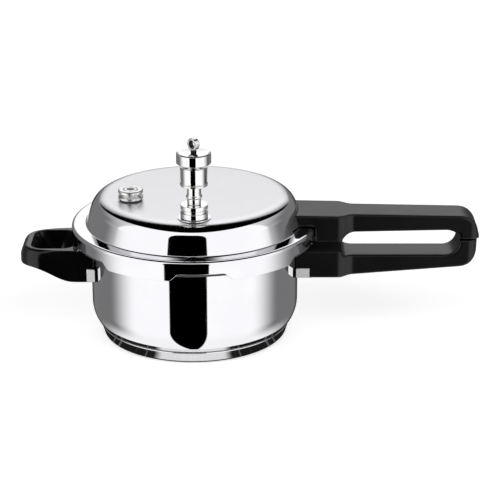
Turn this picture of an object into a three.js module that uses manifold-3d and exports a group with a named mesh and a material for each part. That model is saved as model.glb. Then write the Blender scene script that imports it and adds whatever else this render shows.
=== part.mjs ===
// Stovetop pressure cooker of the two-litre class with an outer bayonet lid.
// Millimetres, +Z up. The origin is the centre of the base underside.
// +X runs along the long handle; the six lid lugs are spaced evenly about Z.

import * as THREE from 'three';
import { mergeVertices } from 'three/addons/utils/BufferGeometryUtils.js';
import Module from 'manifold-3d';

const wasm = await Module();
wasm.setup();

// Fits shared by all pieces
const CLEARANCE = 0.3;
const CUT_MARGIN = 5;
const SEGMENTS = 48;
const SMALL_SEGMENTS = 18;
const CURVE_STEPS = 4;
const WELD = 1e-4;
const FILLET_ROOM = 0.96;

// Sandwich base
const BASE_INSET = 7;
const BASE_HEIGHT = 9.8;
const BASE_SHEET = 0.8;
const BASE_EDGE = 2.5;
const BASE_TAPER = 2.2;

// Pot
const POT_RADIUS = 88.5;
const POT_SHEET = 1.2;
const POT_CORNER = 30;
const POT_CORNER_DEG = 38;
const POT_HEEL = 3;
const POT_RIM_HEIGHT = 85.3;
const RIM_SHEET = 1.6;
const RIM_SLACK = 1.7;
const RIM_LUG_SLACK = 1.5;
const RIM_LUG_SPAN_DEG = 24;

// Bayonet
const LUG_COUNT = 6;
const LUG_TURN_DEG = 4.7;
const LUG_SLACK = 0.5;
const LUG_LEDGE = 8;
const GAP_RISE = 6;
const GAP_WIDTH = 36;
const GAP_RAMP = 9;

// Lid
const LID_SHEET = 1.2;
const FLANGE_BEYOND_POT = 15.7;
const FLANGE_EDGE = 3;
const SHOULDER_RADIUS = 15.2;
const PLATE_INSET = 31.2;
const LID_RISE = 24;
const WALL_LEAN_DEG = 18.9;

// Gasket
const GASKET_HEIGHT = 11.8;
const GASKET_WIDTH = 13.2;
const GASKET_NOTCH = 4.5;

// Vent tube, its nut and washer
const VENT_FROM_PLATE_EDGE = 8.5;
const VENT_ANGLE_DEG = -88;
const VENT_WASHER_RADIUS = 13.6;
const VENT_WASHER_HEIGHT = 0.5;
const VENT_NUT_RADIUS = 11.4;
const VENT_NUT_HEIGHT = 11;
const VENT_GROOVE_LOW = 4.3;
const VENT_GROOVE_HIGH = 7.6;
const VENT_GROOVE_DEPTH = 0.9;
const VENT_BORE = 1.6;
const VENT_THREAD = 5;
const VENT_STEM = 5.9;
const VENT_STEM_LENGTH = 15.5;
const VENT_BEAD = 6.7;
const VENT_BEAD_FROM_NUT = 5.6;
const VENT_BEAD_HEIGHT = 1.6;
const VENT_SPIGOT = 4.4;
const VENT_SPIGOT_LENGTH = 11;

// Weight
const WEIGHT_RADIUS = 11.2;
const WEIGHT_HEIGHT = 15.6;
const WEIGHT_BORE = 7.2;
const WEIGHT_BORE_DEPTH = 13;
const WEIGHT_LIP = 1.2;
const WEIGHT_LIP_GROOVE = 0.5;
const CAP_RADIUS = 14.2;
const CAP_HEIGHT = 12;
const CAP_CHAMFER = 3;
const CAP_EDGE = 0.8;
const NEEDLE_RADIUS = 2;
const NEEDLE_TIP_RADIUS = 1.2;
const NEEDLE_TIP_LENGTH = 4;
const NEEDLE_COLLAR_RADIUS = 3.2;
const NEEDLE_COLLAR_HEIGHT = 1.2;
const NEEDLE_IN_CAP = 4;
const CLIP_HEIGHT = 1.2;
const CLIP_FROM_BOTTOM = 3.4;
const CLIP_GROOVE_DEPTH = 1.2;
const CLIP_INNER_RADIUS = 5.3;
const CLIP_OPEN_DEG = 50;

// Lifting eye
const EYE_RADIUS = 5.2;
const EYE_HOLE = 3;
const EYE_WIDTH = 4.2;
const EYE_NECK = 2;
const EYE_NECK_LENGTH = 1.6;
const EYE_IN_CAP = 3.5;
const EYE_TURN_DEG = -35;

// Safety valve
const SAFETY_FROM_PLATE_EDGE = 17.5;
const SAFETY_ANGLE_DEG = 199;
const SAFETY_DISC = 10.5;
const SAFETY_NECK = 8.4;
const SAFETY_FOOT_HEIGHT = 2.6;
const SAFETY_NECK_HEIGHT = 2.4;
const SAFETY_TOP_HEIGHT = 4;
const SAFETY_THREAD = 5;
const SAFETY_BORE = 3;
const SAFETY_WASHER_RADIUS = 9.4;
const SAFETY_WASHER_HEIGHT = 0.8;
const SAFETY_GROOVE_RADIUS = 6.2;
const SAFETY_GROOVE_WIDTH = 0.9;
const SAFETY_GROOVE_DEPTH = 0.6;
const PLUG_LENGTH = 7;
const PLUG_RECESS = 0.8;

// Hexagon lock nuts under the plate
const LOCK_NUT_RADIUS = 9.5;
const LOCK_NUT_HEIGHT = 4;
const THREAD_BELOW_NUT = 1.5;

// Long handle, lid half above and pot half below
const HANDLE_REACH = 154.5;
const HANDLE_ROOT_HALF_WIDTH = 22;
const HANDLE_GRIP_HALF_WIDTH = 15.5;
const HANDLE_NECK_START = 32.5;
const HANDLE_NECK_LENGTH = 12;
const HANDLE_ABOVE_FLANGE = 9.9;
const HANDLE_DROOP = 2.3;
const HANDLE_END_SLANT = 5;
const HANDLE_END_CURVE = 15;
const POT_HANDLE_SHORTER = 1.8;
const HANDLE_PLAN_CORNER = 8;
const SPLIT_ABOVE_RIM = 0.3;
const SPLIT_GAP = 0.6;
const SLOT_START = 37.5;
const SLOT_LENGTH = 99.5;
const SLOT_ABOVE_SPLIT = 8;
const SLOT_RISE = 1.7;
const SLOT_BELOW_SPLIT = 13.6;
const SLOT_CURVE = 10;
const SLOT_FAR_CURVE = 14;
const ROOT_GAP = 7.7;
const POT_HANDLE_ROOT_DEPTH = 24.3;
const POT_HANDLE_END_DEPTH = 23;
const ROOT_EDGE = 2.5;

// Helper handle
const HELPER_REACH = 59.4;
const HELPER_HALF_WIDTH = 30.6;
const HELPER_CORNER = 20;
const HELPER_BELOW_LUGS = 1;
const HELPER_ROOT_DEPTH = 28;
const HELPER_END_DEPTH = 15;
const HELPER_SLOPE_START = 18.5;
const HELPER_SLOPE_LENGTH = 27;
const HELPER_EDGE = 3;
const HELPER_HOLE_START = 18.5;
const HELPER_HOLE_LENGTH = 31.8;
const HELPER_HOLE_NEAR_DRAFT = 7;
const HELPER_HOLE_FAR_DRAFT = 12;
const HELPER_HOLE_HALF_WIDTH = 23;
const HELPER_HOLE_CORNER = 11;

// Brackets and screws
const BRACKET_SHEET = 1.5;
const BRACKET_HEIGHT = 11;
const BRACKET_FOOT = 12;
const POT_BRACKET_ARM = 13;
const HELPER_BRACKET_ARM = 9;
const BRACKET_FLOOR = 12;
const ANGLE_HALF_WIDTH = 14;
const ANGLE_HEIGHT = 8;
const ANGLE_BELOW_FLANGE = 4.5;
const ANGLE_TAB_HALF_WIDTH = 10;
const ANGLE_TAB_LENGTH = 17;
const SCREW_RADIUS = 2.5;
const SCREW_HEAD_RADIUS = 4.5;
const SCREW_HEAD_HEIGHT = 2.4;
const SCREW_LENGTH = 15;
const HELPER_SCREW_OFFSET = 15;

// Heights and places that follow from the driving sizes
const DEGREE = Math.PI / 180;
const LUG_PITCH = 2 * Math.PI / LUG_COUNT;
const LUG_TURN = LUG_TURN_DEG * DEGREE;
const FLOOR_UNDER = BASE_HEIGHT + CLEARANCE;
const RIM_UNDER = POT_RIM_HEIGHT - RIM_SHEET;
const BASE_RADIUS = POT_RADIUS - BASE_INSET;
const BASE_BEND_RADIUS = BASE_RADIUS - BASE_TAPER - BASE_EDGE;
const BASE_LEAN_DEG = Math.atan2(BASE_TAPER, BASE_HEIGHT - BASE_EDGE) / DEGREE;
const FLANGE_RADIUS = POT_RADIUS + FLANGE_BEYOND_POT;
const LEDGE_RADIUS = FLANGE_RADIUS - LUG_LEDGE;
const RIM_RADIUS = LEDGE_RADIUS - RIM_SLACK;
const RIM_LUG_RADIUS = FLANGE_RADIUS - LID_SHEET - RIM_LUG_SLACK;
const PLATE_RADIUS = FLANGE_RADIUS - PLATE_INSET;
const GASKET_RADIUS = FLANGE_RADIUS - LID_SHEET - CLEARANCE;
const GASKET_INNER_RADIUS = GASKET_RADIUS - GASKET_WIDTH;
const VENT_RADIUS_ON_LID = PLATE_RADIUS - VENT_FROM_PLATE_EDGE;
const SAFETY_RADIUS_ON_LID = PLATE_RADIUS - SAFETY_FROM_PLATE_EDGE;
const FLANGE_UNDER = POT_RIM_HEIGHT + GASKET_HEIGHT + 2 * CLEARANCE;
const FLANGE_TOP = FLANGE_UNDER + LID_SHEET;
const LUG_TOP = RIM_UNDER - LUG_SLACK;
const LUG_UNDER = LUG_TOP - LID_SHEET;
const GAP_EDGE = LUG_UNDER + GAP_RISE;
const PLATE_TOP = FLANGE_TOP + LID_RISE;
const PLATE_UNDER = PLATE_TOP - LID_SHEET;
const VENT_NUT_UNDER = PLATE_TOP + VENT_WASHER_HEIGHT + 2 * CLEARANCE;
const VENT_NUT_TOP = VENT_NUT_UNDER + VENT_NUT_HEIGHT;
const STEM_UNDER = VENT_NUT_TOP + CLEARANCE;
const STEM_TOP = STEM_UNDER + VENT_STEM_LENGTH;
const VENT_TOP = STEM_TOP + VENT_SPIGOT_LENGTH;
const LOCK_NUT_TOP = PLATE_UNDER - CLEARANCE;
const THREAD_END = LOCK_NUT_TOP - LOCK_NUT_HEIGHT - THREAD_BELOW_NUT;
const WEIGHT_UNDER = STEM_TOP + CLEARANCE;
const WEIGHT_TOP = WEIGHT_UNDER + WEIGHT_HEIGHT;
const CAP_UNDER = WEIGHT_TOP + CLEARANCE;
const CAP_TOP = CAP_UNDER + CAP_HEIGHT;
const SPLIT_HEIGHT = POT_RIM_HEIGHT + SPLIT_ABOVE_RIM;
const LID_HANDLE_UNDER = SPLIT_HEIGHT + SPLIT_GAP / 2;
const POT_HANDLE_END_TOP = SPLIT_HEIGHT - SPLIT_GAP / 2;
const POT_HANDLE_ROOT_TOP = POT_HANDLE_END_TOP - ROOT_GAP;
const POT_HANDLE_UNDER = POT_HANDLE_ROOT_TOP - POT_HANDLE_ROOT_DEPTH;
const HANDLE_END = POT_RADIUS + HANDLE_REACH;
const SLOT_NEAR = POT_RADIUS + SLOT_START;
const SLOT_FAR = SLOT_NEAR + SLOT_LENGTH;
const HELPER_TOP = LUG_UNDER - HELPER_BELOW_LUGS;
const HELPER_UNDER = HELPER_TOP - HELPER_ROOT_DEPTH;
const ANGLE_TAB_UNDER = FLANGE_TOP - ANGLE_BELOW_FLANGE - LID_SHEET;

// Solids from geometry

// A closed geometry with its shared corners merged, as a solid that can be joined and cut.
function toSolid(geometry) {
  const bare = geometry.clone();
  bare.deleteAttribute('normal');
  bare.deleteAttribute('uv');
  const merged = mergeVertices(bare, WELD);
  const index = merged.index.array;
  const corners = [];
  for (let i = 0; i < index.length; i += 3) {
    const [a, b, c] = [index[i], index[i + 1], index[i + 2]];
    if (a !== b && b !== c && c !== a) corners.push(a, b, c);
  }
  return new wasm.Manifold(new wasm.Mesh({
    numProp: 3,
    vertProperties: new Float32Array(merged.attributes.position.array),
    triVerts: new Uint32Array(corners),
  }));
}

// The triangles of a solid as a geometry.
function toGeometry(solid) {
  const mesh = solid.getMesh();
  const geometry = new THREE.BufferGeometry();
  geometry.setAttribute('position', new THREE.BufferAttribute(mesh.vertProperties, 3));
  geometry.setIndex(new THREE.BufferAttribute(mesh.triVerts, 1));
  return geometry;
}

function joined(...solids) {
  return solids.reduce((whole, next) => whole.add(next));
}

function cut(solid, ...tools) {
  return tools.reduce((rest, tool) => rest.subtract(tool), solid);
}

// A profile of [radius, height] pairs turned about Z. It runs outwards along the underside first.
function turned(profile, segments = SMALL_SEGMENTS) {
  const points = profile.map(([radius, height]) => new THREE.Vector2(radius, height));
  const geometry = new THREE.LatheGeometry(points, segments);
  return toSolid(geometry.rotateX(Math.PI / 2));
}

// A ring: the profile closes on itself instead of ending on the axis.
function turnedRing(profile, segments = SMALL_SEGMENTS) {
  return turned([...profile, profile[0]], segments);
}

// Points of an arc in the profile plane, angles in degrees from the outward direction.
function arc(centreRadius, centreHeight, radius, fromDeg, toDeg, steps = CURVE_STEPS) {
  const points = [];
  for (let i = 0; i <= steps; i += 1) {
    const angle = (fromDeg + (toDeg - fromDeg) * i / steps) * DEGREE;
    points.push([centreRadius + radius * Math.cos(angle), centreHeight + radius * Math.sin(angle)]);
  }
  return points;
}

// A closed outline through corners [x, y, fillet]. Each fillet is a curve tangent to both sides.
// Two fillets that meet on a side share it by their sizes.
function filleted(corners) {
  const shape = new THREE.Shape();
  const count = corners.length;
  corners.forEach(([x, y, fillet = 0], i) => {
    const corner = new THREE.Vector2(x, y);
    const toward = (j) => new THREE.Vector2(corners[j][0], corners[j][1]).sub(corner);
    const share = (j) => FILLET_ROOM * fillet / (fillet + (corners[j][2] ?? 0) + WELD);
    const before = (i + count - 1) % count;
    const after = (i + 1) % count;
    const back = toward(before);
    const ahead = toward(after);
    const reach = Math.min(fillet, share(before) * back.length(), share(after) * ahead.length());
    const start = back.setLength(reach).add(corner);
    const end = ahead.setLength(reach).add(corner);
    if (i === 0) shape.moveTo(start.x, start.y);
    else shape.lineTo(start.x, start.y);
    if (reach > 0) shape.quadraticCurveTo(x, y, end.x, end.y);
  });
  shape.closePath();
  return shape;
}

function extruded(shape, depth) {
  return new THREE.ExtrudeGeometry(shape, { depth, bevelEnabled: false, curveSegments: CURVE_STEPS });
}

// A plan outline in XY raised from one height to another.
function raised(shape, low, high) {
  return toSolid(extruded(shape, high - low).translate(0, 0, low));
}

// A side outline in XZ spread evenly across Y.
function spread(shape, width) {
  return toSolid(extruded(shape, width).rotateX(Math.PI / 2).translate(0, width / 2, 0));
}

function block(lowCorner, highCorner) {
  const size = highCorner.map((value, i) => value - lowCorner[i]);
  const middle = highCorner.map((value, i) => (value + lowCorner[i]) / 2);
  return toSolid(new THREE.BoxGeometry(...size).translate(...middle));
}

// An upright round bar standing on a point.
function bar(radius, x, y, low, high) {
  const profile = [[0, low], [radius, low], [radius, high], [0, high]];
  return turned(profile).translate([x, y, 0]);
}

// A sector of a ring between two radii and two angles.
function sector(inner, outer, fromAngle, toAngle, low, high) {
  const shape = new THREE.Shape();
  shape.absarc(0, 0, outer, fromAngle, toAngle, false);
  shape.absarc(0, 0, inner, toAngle, fromAngle, true);
  shape.closePath();
  return raised(shape, low, high);
}

function turnedBy(solid, angle) {
  return solid.rotate([0, 0, angle / DEGREE]);
}

// Sandwich base

// The base narrows downwards to a rounded edge.
function baseCap() {
  const inner = BASE_RADIUS - BASE_SHEET;
  return turned([
    [0, 0],
    ...arc(BASE_BEND_RADIUS, BASE_EDGE, BASE_EDGE, -90, -BASE_LEAN_DEG),
    [BASE_RADIUS, BASE_HEIGHT],
    [inner, BASE_HEIGHT],
    ...arc(BASE_BEND_RADIUS, BASE_EDGE, BASE_EDGE - BASE_SHEET, -BASE_LEAN_DEG, -90),
    [0, BASE_SHEET],
  ], SEGMENTS);
}

function baseCore() {
  const edge = BASE_EDGE - BASE_SHEET - CLEARANCE;
  const radius = BASE_RADIUS - BASE_SHEET - CLEARANCE;
  return turned([
    [0, BASE_SHEET + CLEARANCE],
    ...arc(BASE_BEND_RADIUS, BASE_EDGE, edge, -90, -BASE_LEAN_DEG),
    [radius, BASE_HEIGHT],
    [0, BASE_HEIGHT],
  ], SEGMENTS);
}

// The pot's lower corner from the floor to the wall: a tight heel, then a wide curve. Taken in by inset.
function potCorner(inset) {
  const turn = POT_CORNER_DEG * DEGREE;
  const reach = POT_CORNER - POT_HEEL;
  const centreRadius = POT_RADIUS - POT_CORNER;
  const heelHeight = FLOOR_UNDER + POT_HEEL;
  const centreHeight = heelHeight + reach * Math.sin(turn);
  const heelRadius = centreRadius + reach * Math.cos(turn);
  return [
    ...arc(heelRadius, heelHeight, POT_HEEL - inset, -90, -POT_CORNER_DEG),
    ...arc(centreRadius, centreHeight, POT_CORNER - inset, -POT_CORNER_DEG, 0).slice(1),
  ];
}

// The drawn pot with a full rim, whose notches between the rim lugs are then cut away.
function potShell() {
  const inside = POT_RADIUS - POT_SHEET;
  const whole = turned([
    [0, FLOOR_UNDER],
    ...potCorner(0),
    [POT_RADIUS, RIM_UNDER],
    [RIM_LUG_RADIUS, RIM_UNDER],
    [RIM_LUG_RADIUS, POT_RIM_HEIGHT],
    [inside, POT_RIM_HEIGHT],
    ...potCorner(POT_SHEET).reverse(),
    [0, FLOOR_UNDER + POT_SHEET],
  ], SEGMENTS);
  const notchHalf = (LUG_PITCH - RIM_LUG_SPAN_DEG * DEGREE) / 2;
  const notches = [];
  for (let i = 0; i < LUG_COUNT; i += 1) {
    const middle = (i + 0.5) * LUG_PITCH + LUG_TURN;
    notches.push(sector(
      RIM_RADIUS, RIM_LUG_RADIUS + CUT_MARGIN, middle - notchHalf, middle + notchHalf,
      RIM_UNDER - CUT_MARGIN, POT_RIM_HEIGHT + CUT_MARGIN,
    ));
  }
  return cut(whole, ...notches);
}

// Lid

// Plate, shoulder and leaning wall, offset outwards by grow, from the axis to the flange.
function lidCrown(grow) {
  const lean = WALL_LEAN_DEG * DEGREE;
  const bend = SHOULDER_RADIUS + grow;
  const centreHeight = PLATE_TOP - SHOULDER_RADIUS;
  const shoulder = arc(PLATE_RADIUS, centreHeight, bend, 90, WALL_LEAN_DEG, CURVE_STEPS + 1);
  const [wallRadius, wallHeight] = shoulder[shoulder.length - 1];
  const drop = wallHeight - (FLANGE_TOP + grow);
  return [[0, PLATE_TOP + grow], ...shoulder, [wallRadius + drop * Math.tan(lean), FLANGE_TOP + grow]];
}

// The space that the lid fills from outside, grown by the clearance, which cuts what is set against it.
function lidSpace() {
  const outside = FLANGE_RADIUS + CLEARANCE;
  const low = LUG_UNDER - CUT_MARGIN;
  const top = FLANGE_TOP + CLEARANCE;
  return turned([[0, low], [outside, low], [outside, top], ...lidCrown(CLEARANCE).reverse()], SEGMENTS);
}

// One gap of the skirt, lying towards -Y, with a curved ramp at each side.
function skirtGap() {
  const top = GAP_WIDTH / 2;
  const foot = top + GAP_RAMP;
  const middle = (top + foot) / 2;
  const low = LUG_UNDER - CUT_MARGIN;
  const shape = new THREE.Shape();
  shape.moveTo(-foot, low);
  shape.lineTo(foot, low);
  shape.lineTo(foot, LUG_UNDER);
  shape.bezierCurveTo(middle, LUG_UNDER, middle, GAP_EDGE, top, GAP_EDGE);
  shape.lineTo(-top, GAP_EDGE);
  shape.bezierCurveTo(-middle, GAP_EDGE, -middle, LUG_UNDER, -foot, LUG_UNDER);
  shape.closePath();
  const length = LUG_LEDGE + 2 * CUT_MARGIN + FLANGE_EDGE;
  const geometry = extruded(shape, length).rotateX(Math.PI / 2);
  const start = FLANGE_RADIUS - LUG_LEDGE - CUT_MARGIN - FLANGE_EDGE;
  return toSolid(geometry.translate(0, -start, 0));
}

function lidShell() {
  const skirtInside = FLANGE_RADIUS - LID_SHEET;
  const edgeRadius = FLANGE_RADIUS - FLANGE_EDGE;
  const edgeHeight = FLANGE_TOP - FLANGE_EDGE;
  const whole = turned([
    ...lidCrown(-LID_SHEET),
    ...arc(edgeRadius, edgeHeight, FLANGE_EDGE - LID_SHEET, 90, 0),
    [skirtInside, LUG_TOP],
    [LEDGE_RADIUS, LUG_TOP],
    [LEDGE_RADIUS, LUG_UNDER],
    [FLANGE_RADIUS, LUG_UNDER],
    ...arc(edgeRadius, edgeHeight, FLANGE_EDGE, 0, 90),
    ...lidCrown(0).reverse(),
  ], SEGMENTS);
  const gaps = [];
  for (let i = 0; i < LUG_COUNT; i += 1) {
    gaps.push(turnedBy(skirtGap(), i * LUG_PITCH + LUG_TURN));
  }
  const low = PLATE_UNDER - CUT_MARGIN;
  const high = PLATE_TOP + CUT_MARGIN;
  const ventHole = bar(VENT_THREAD + CLEARANCE, 0, 0, low, high).translate(onVent());
  const safetyHole = bar(SAFETY_THREAD + CLEARANCE, 0, 0, low, high).translate(onSafety());
  return cut(whole, ...gaps, ventHole, safetyHole);
}

function gasket() {
  const low = POT_RIM_HEIGHT + CLEARANCE;
  const high = low + GASKET_HEIGHT;
  const edge = FLANGE_EDGE - LID_SHEET;
  return turnedRing([
    [GASKET_INNER_RADIUS, low],
    [GASKET_RADIUS, low],
    ...arc(GASKET_RADIUS - edge, high - edge, edge, 0, 90),
    [GASKET_INNER_RADIUS, high],
    [GASKET_INNER_RADIUS + GASKET_NOTCH, (low + high) / 2],
  ], SEGMENTS);
}

// Vent

function polarPlace(radius, angleDeg) {
  const angle = angleDeg * DEGREE;
  return [radius * Math.cos(angle), radius * Math.sin(angle), 0];
}

function onVent() {
  return polarPlace(VENT_RADIUS_ON_LID, VENT_ANGLE_DEG);
}

function onSafety() {
  return polarPlace(SAFETY_RADIUS_ON_LID, SAFETY_ANGLE_DEG);
}

function washer(inner, outer, height) {
  const low = PLATE_TOP + CLEARANCE;
  return turnedRing([[inner, low], [outer, low], [outer, low + height], [inner, low + height]]);
}

function ventWasher() {
  return washer(VENT_THREAD + CLEARANCE, VENT_WASHER_RADIUS, VENT_WASHER_HEIGHT).translate(onVent());
}

function ventNut() {
  const bore = VENT_THREAD + CLEARANCE;
  const waist = VENT_NUT_RADIUS - VENT_GROOVE_DEPTH;
  const low = VENT_NUT_UNDER + VENT_GROOVE_LOW;
  const high = VENT_NUT_UNDER + VENT_GROOVE_HIGH;
  return turnedRing([
    [bore, VENT_NUT_UNDER],
    [VENT_NUT_RADIUS, VENT_NUT_UNDER],
    [VENT_NUT_RADIUS, low],
    [waist, low],
    [waist, high],
    [VENT_NUT_RADIUS, high],
    [VENT_NUT_RADIUS, VENT_NUT_TOP],
    [bore, VENT_NUT_TOP],
  ]).translate(onVent());
}

function ventTube() {
  const bead = STEM_UNDER + VENT_BEAD_FROM_NUT;
  return turnedRing([
    [VENT_BORE, THREAD_END],
    [VENT_THREAD, THREAD_END],
    [VENT_THREAD, STEM_UNDER],
    [VENT_STEM, STEM_UNDER],
    [VENT_STEM, bead],
    [VENT_BEAD, bead + VENT_BEAD_HEIGHT / 2],
    [VENT_STEM, bead + VENT_BEAD_HEIGHT],
    [VENT_STEM, STEM_TOP],
    [VENT_SPIGOT, STEM_TOP],
    [VENT_SPIGOT, VENT_TOP],
    [VENT_BORE, VENT_TOP],
  ]).translate(onVent());
}

function lockNut(thread) {
  const shape = new THREE.Shape();
  for (let i = 0; i < 6; i += 1) {
    const angle = i * Math.PI / 3;
    const corner = [LOCK_NUT_RADIUS * Math.cos(angle), LOCK_NUT_RADIUS * Math.sin(angle)];
    if (i === 0) shape.moveTo(...corner);
    else shape.lineTo(...corner);
  }
  shape.closePath();
  const nut = raised(shape, LOCK_NUT_TOP - LOCK_NUT_HEIGHT, LOCK_NUT_TOP);
  const low = LOCK_NUT_TOP - LOCK_NUT_HEIGHT - CUT_MARGIN;
  return cut(nut, bar(thread + CLEARANCE, 0, 0, low, LOCK_NUT_TOP + CUT_MARGIN));
}

// Safety valve

function safetyBody() {
  const under = PLATE_TOP + SAFETY_WASHER_HEIGHT + 2 * CLEARANCE;
  const neck = under + SAFETY_FOOT_HEIGHT;
  const disc = neck + SAFETY_NECK_HEIGHT;
  const top = disc + SAFETY_TOP_HEIGHT;
  const grooveInside = SAFETY_GROOVE_RADIUS - SAFETY_GROOVE_WIDTH;
  return turnedRing([
    [SAFETY_BORE, THREAD_END],
    [SAFETY_THREAD, THREAD_END],
    [SAFETY_THREAD, under],
    [SAFETY_DISC, under],
    [SAFETY_DISC, neck],
    [SAFETY_NECK, neck],
    [SAFETY_NECK, disc],
    [SAFETY_DISC, disc],
    [SAFETY_DISC, top],
    [SAFETY_GROOVE_RADIUS, top],
    [SAFETY_GROOVE_RADIUS, top - SAFETY_GROOVE_DEPTH],
    [grooveInside, top - SAFETY_GROOVE_DEPTH],
    [grooveInside, top],
    [SAFETY_BORE, top],
  ]).translate(onSafety());
}

function fusiblePlug() {
  const spool = SAFETY_FOOT_HEIGHT + SAFETY_NECK_HEIGHT + SAFETY_TOP_HEIGHT;
  const top = PLATE_TOP + SAFETY_WASHER_HEIGHT + 2 * CLEARANCE + spool - PLUG_RECESS;
  return bar(SAFETY_BORE - CLEARANCE, 0, 0, top - PLUG_LENGTH, top).translate(onSafety());
}

function safetyWasher() {
  const bore = SAFETY_THREAD + CLEARANCE;
  return washer(bore, SAFETY_WASHER_RADIUS, SAFETY_WASHER_HEIGHT).translate(onSafety());
}

// Weight

function weightBody() {
  const grooveRadius = WEIGHT_BORE + CLIP_GROOVE_DEPTH;
  const grooveLow = WEIGHT_UNDER + CLIP_FROM_BOTTOM;
  const grooveHigh = grooveLow + CLIP_HEIGHT + 2 * CLEARANCE;
  const lip = WEIGHT_UNDER + WEIGHT_LIP;
  const needleHole = NEEDLE_RADIUS + CLEARANCE;
  return turnedRing([
    [WEIGHT_BORE, WEIGHT_UNDER],
    [WEIGHT_RADIUS, WEIGHT_UNDER],
    [WEIGHT_RADIUS, lip],
    [WEIGHT_RADIUS - WEIGHT_LIP_GROOVE, lip + WEIGHT_LIP_GROOVE],
    [WEIGHT_RADIUS, lip + 2 * WEIGHT_LIP_GROOVE],
    [WEIGHT_RADIUS, WEIGHT_TOP],
    [needleHole, WEIGHT_TOP],
    [needleHole, WEIGHT_UNDER + WEIGHT_BORE_DEPTH],
    [WEIGHT_BORE, WEIGHT_UNDER + WEIGHT_BORE_DEPTH],
    [WEIGHT_BORE, grooveHigh],
    [grooveRadius, grooveHigh],
    [grooveRadius, grooveLow],
    [WEIGHT_BORE, grooveLow],
  ]).translate(onVent());
}

function weightCap() {
  const needleHole = NEEDLE_RADIUS + CLEARANCE;
  const needleTop = CAP_UNDER + NEEDLE_IN_CAP + CLEARANCE;
  const eyeHole = EYE_NECK + CLEARANCE;
  const eyeEnd = CAP_TOP - EYE_IN_CAP - CLEARANCE;
  return turned([
    [0, needleTop],
    [needleHole, needleTop],
    [needleHole, CAP_UNDER],
    [WEIGHT_RADIUS, CAP_UNDER],
    [CAP_RADIUS, CAP_UNDER + CAP_CHAMFER],
    [CAP_RADIUS, CAP_TOP - CAP_EDGE],
    [CAP_RADIUS - CAP_EDGE, CAP_TOP],
    [eyeHole, CAP_TOP],
    [eyeHole, eyeEnd],
    [0, eyeEnd],
  ]).translate(onVent());
}

function weightNeedle() {
  const seat = VENT_TOP + CLEARANCE;
  return turned([
    [0, VENT_TOP - NEEDLE_TIP_LENGTH],
    [NEEDLE_TIP_RADIUS, VENT_TOP - NEEDLE_TIP_LENGTH / 2],
    [NEEDLE_TIP_RADIUS, seat],
    [NEEDLE_COLLAR_RADIUS, seat],
    [NEEDLE_COLLAR_RADIUS, seat + NEEDLE_COLLAR_HEIGHT],
    [NEEDLE_RADIUS, seat + NEEDLE_COLLAR_HEIGHT],
    [NEEDLE_RADIUS, CAP_UNDER + NEEDLE_IN_CAP],
    [0, CAP_UNDER + NEEDLE_IN_CAP],
  ]).translate(onVent());
}

// An open spring ring that lies in the groove of the bore.
function weightClip() {
  const outer = WEIGHT_BORE + CLIP_GROOVE_DEPTH - CLEARANCE;
  const half = CLIP_OPEN_DEG * DEGREE / 2;
  const low = WEIGHT_UNDER + CLIP_FROM_BOTTOM + CLEARANCE;
  const ring = sector(CLIP_INNER_RADIUS, outer, half, 2 * Math.PI - half, low, low + CLIP_HEIGHT);
  return ring.translate(onVent());
}

// A short band ring on a neck that is screwed into the cap.
function liftingEye() {
  const ringShape = new THREE.Shape().absarc(0, 0, EYE_RADIUS, 0, 2 * Math.PI, false);
  ringShape.holes.push(new THREE.Path().absarc(0, 0, EYE_HOLE, 0, 2 * Math.PI, true));
  const geometry = new THREE.ExtrudeGeometry(ringShape, {
    depth: EYE_WIDTH,
    bevelEnabled: false,
    curveSegments: SMALL_SEGMENTS / 2,
  });
  const centre = CAP_TOP + EYE_NECK_LENGTH + EYE_RADIUS;
  geometry.translate(0, 0, -EYE_WIDTH / 2).rotateX(Math.PI / 2).translate(0, 0, centre);
  const neckTop = centre - (EYE_RADIUS + EYE_HOLE) / 2;
  const neck = bar(EYE_NECK, 0, 0, CAP_TOP - EYE_IN_CAP, neckTop);
  const ring = turnedBy(toSolid(geometry), EYE_TURN_DEG * DEGREE);
  return joined(ring, neck).translate(onVent());
}

// Screws and brackets

// A pan-head screw standing on its head, grown by extra on every side.
function screw(x, y, low, extra = 0) {
  const headRadius = SCREW_HEAD_RADIUS + extra;
  const shankRadius = SCREW_RADIUS + extra;
  const neck = low + SCREW_HEAD_HEIGHT + extra;
  const tip = low + SCREW_LENGTH + extra;
  const foot = low - extra;
  return turned([
    [0, foot],
    [headRadius, foot],
    [headRadius, neck],
    [shankRadius, neck],
    [shankRadius, tip],
    [0, tip],
  ]).translate([x, y, 0]);
}

// The room that a screw needs, open downwards.
function screwRoom(x, y, low) {
  const head = bar(SCREW_HEAD_RADIUS + CLEARANCE, x, y, low - CUT_MARGIN, low);
  return joined(head, screw(x, y, low, CLEARANCE));
}

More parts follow.
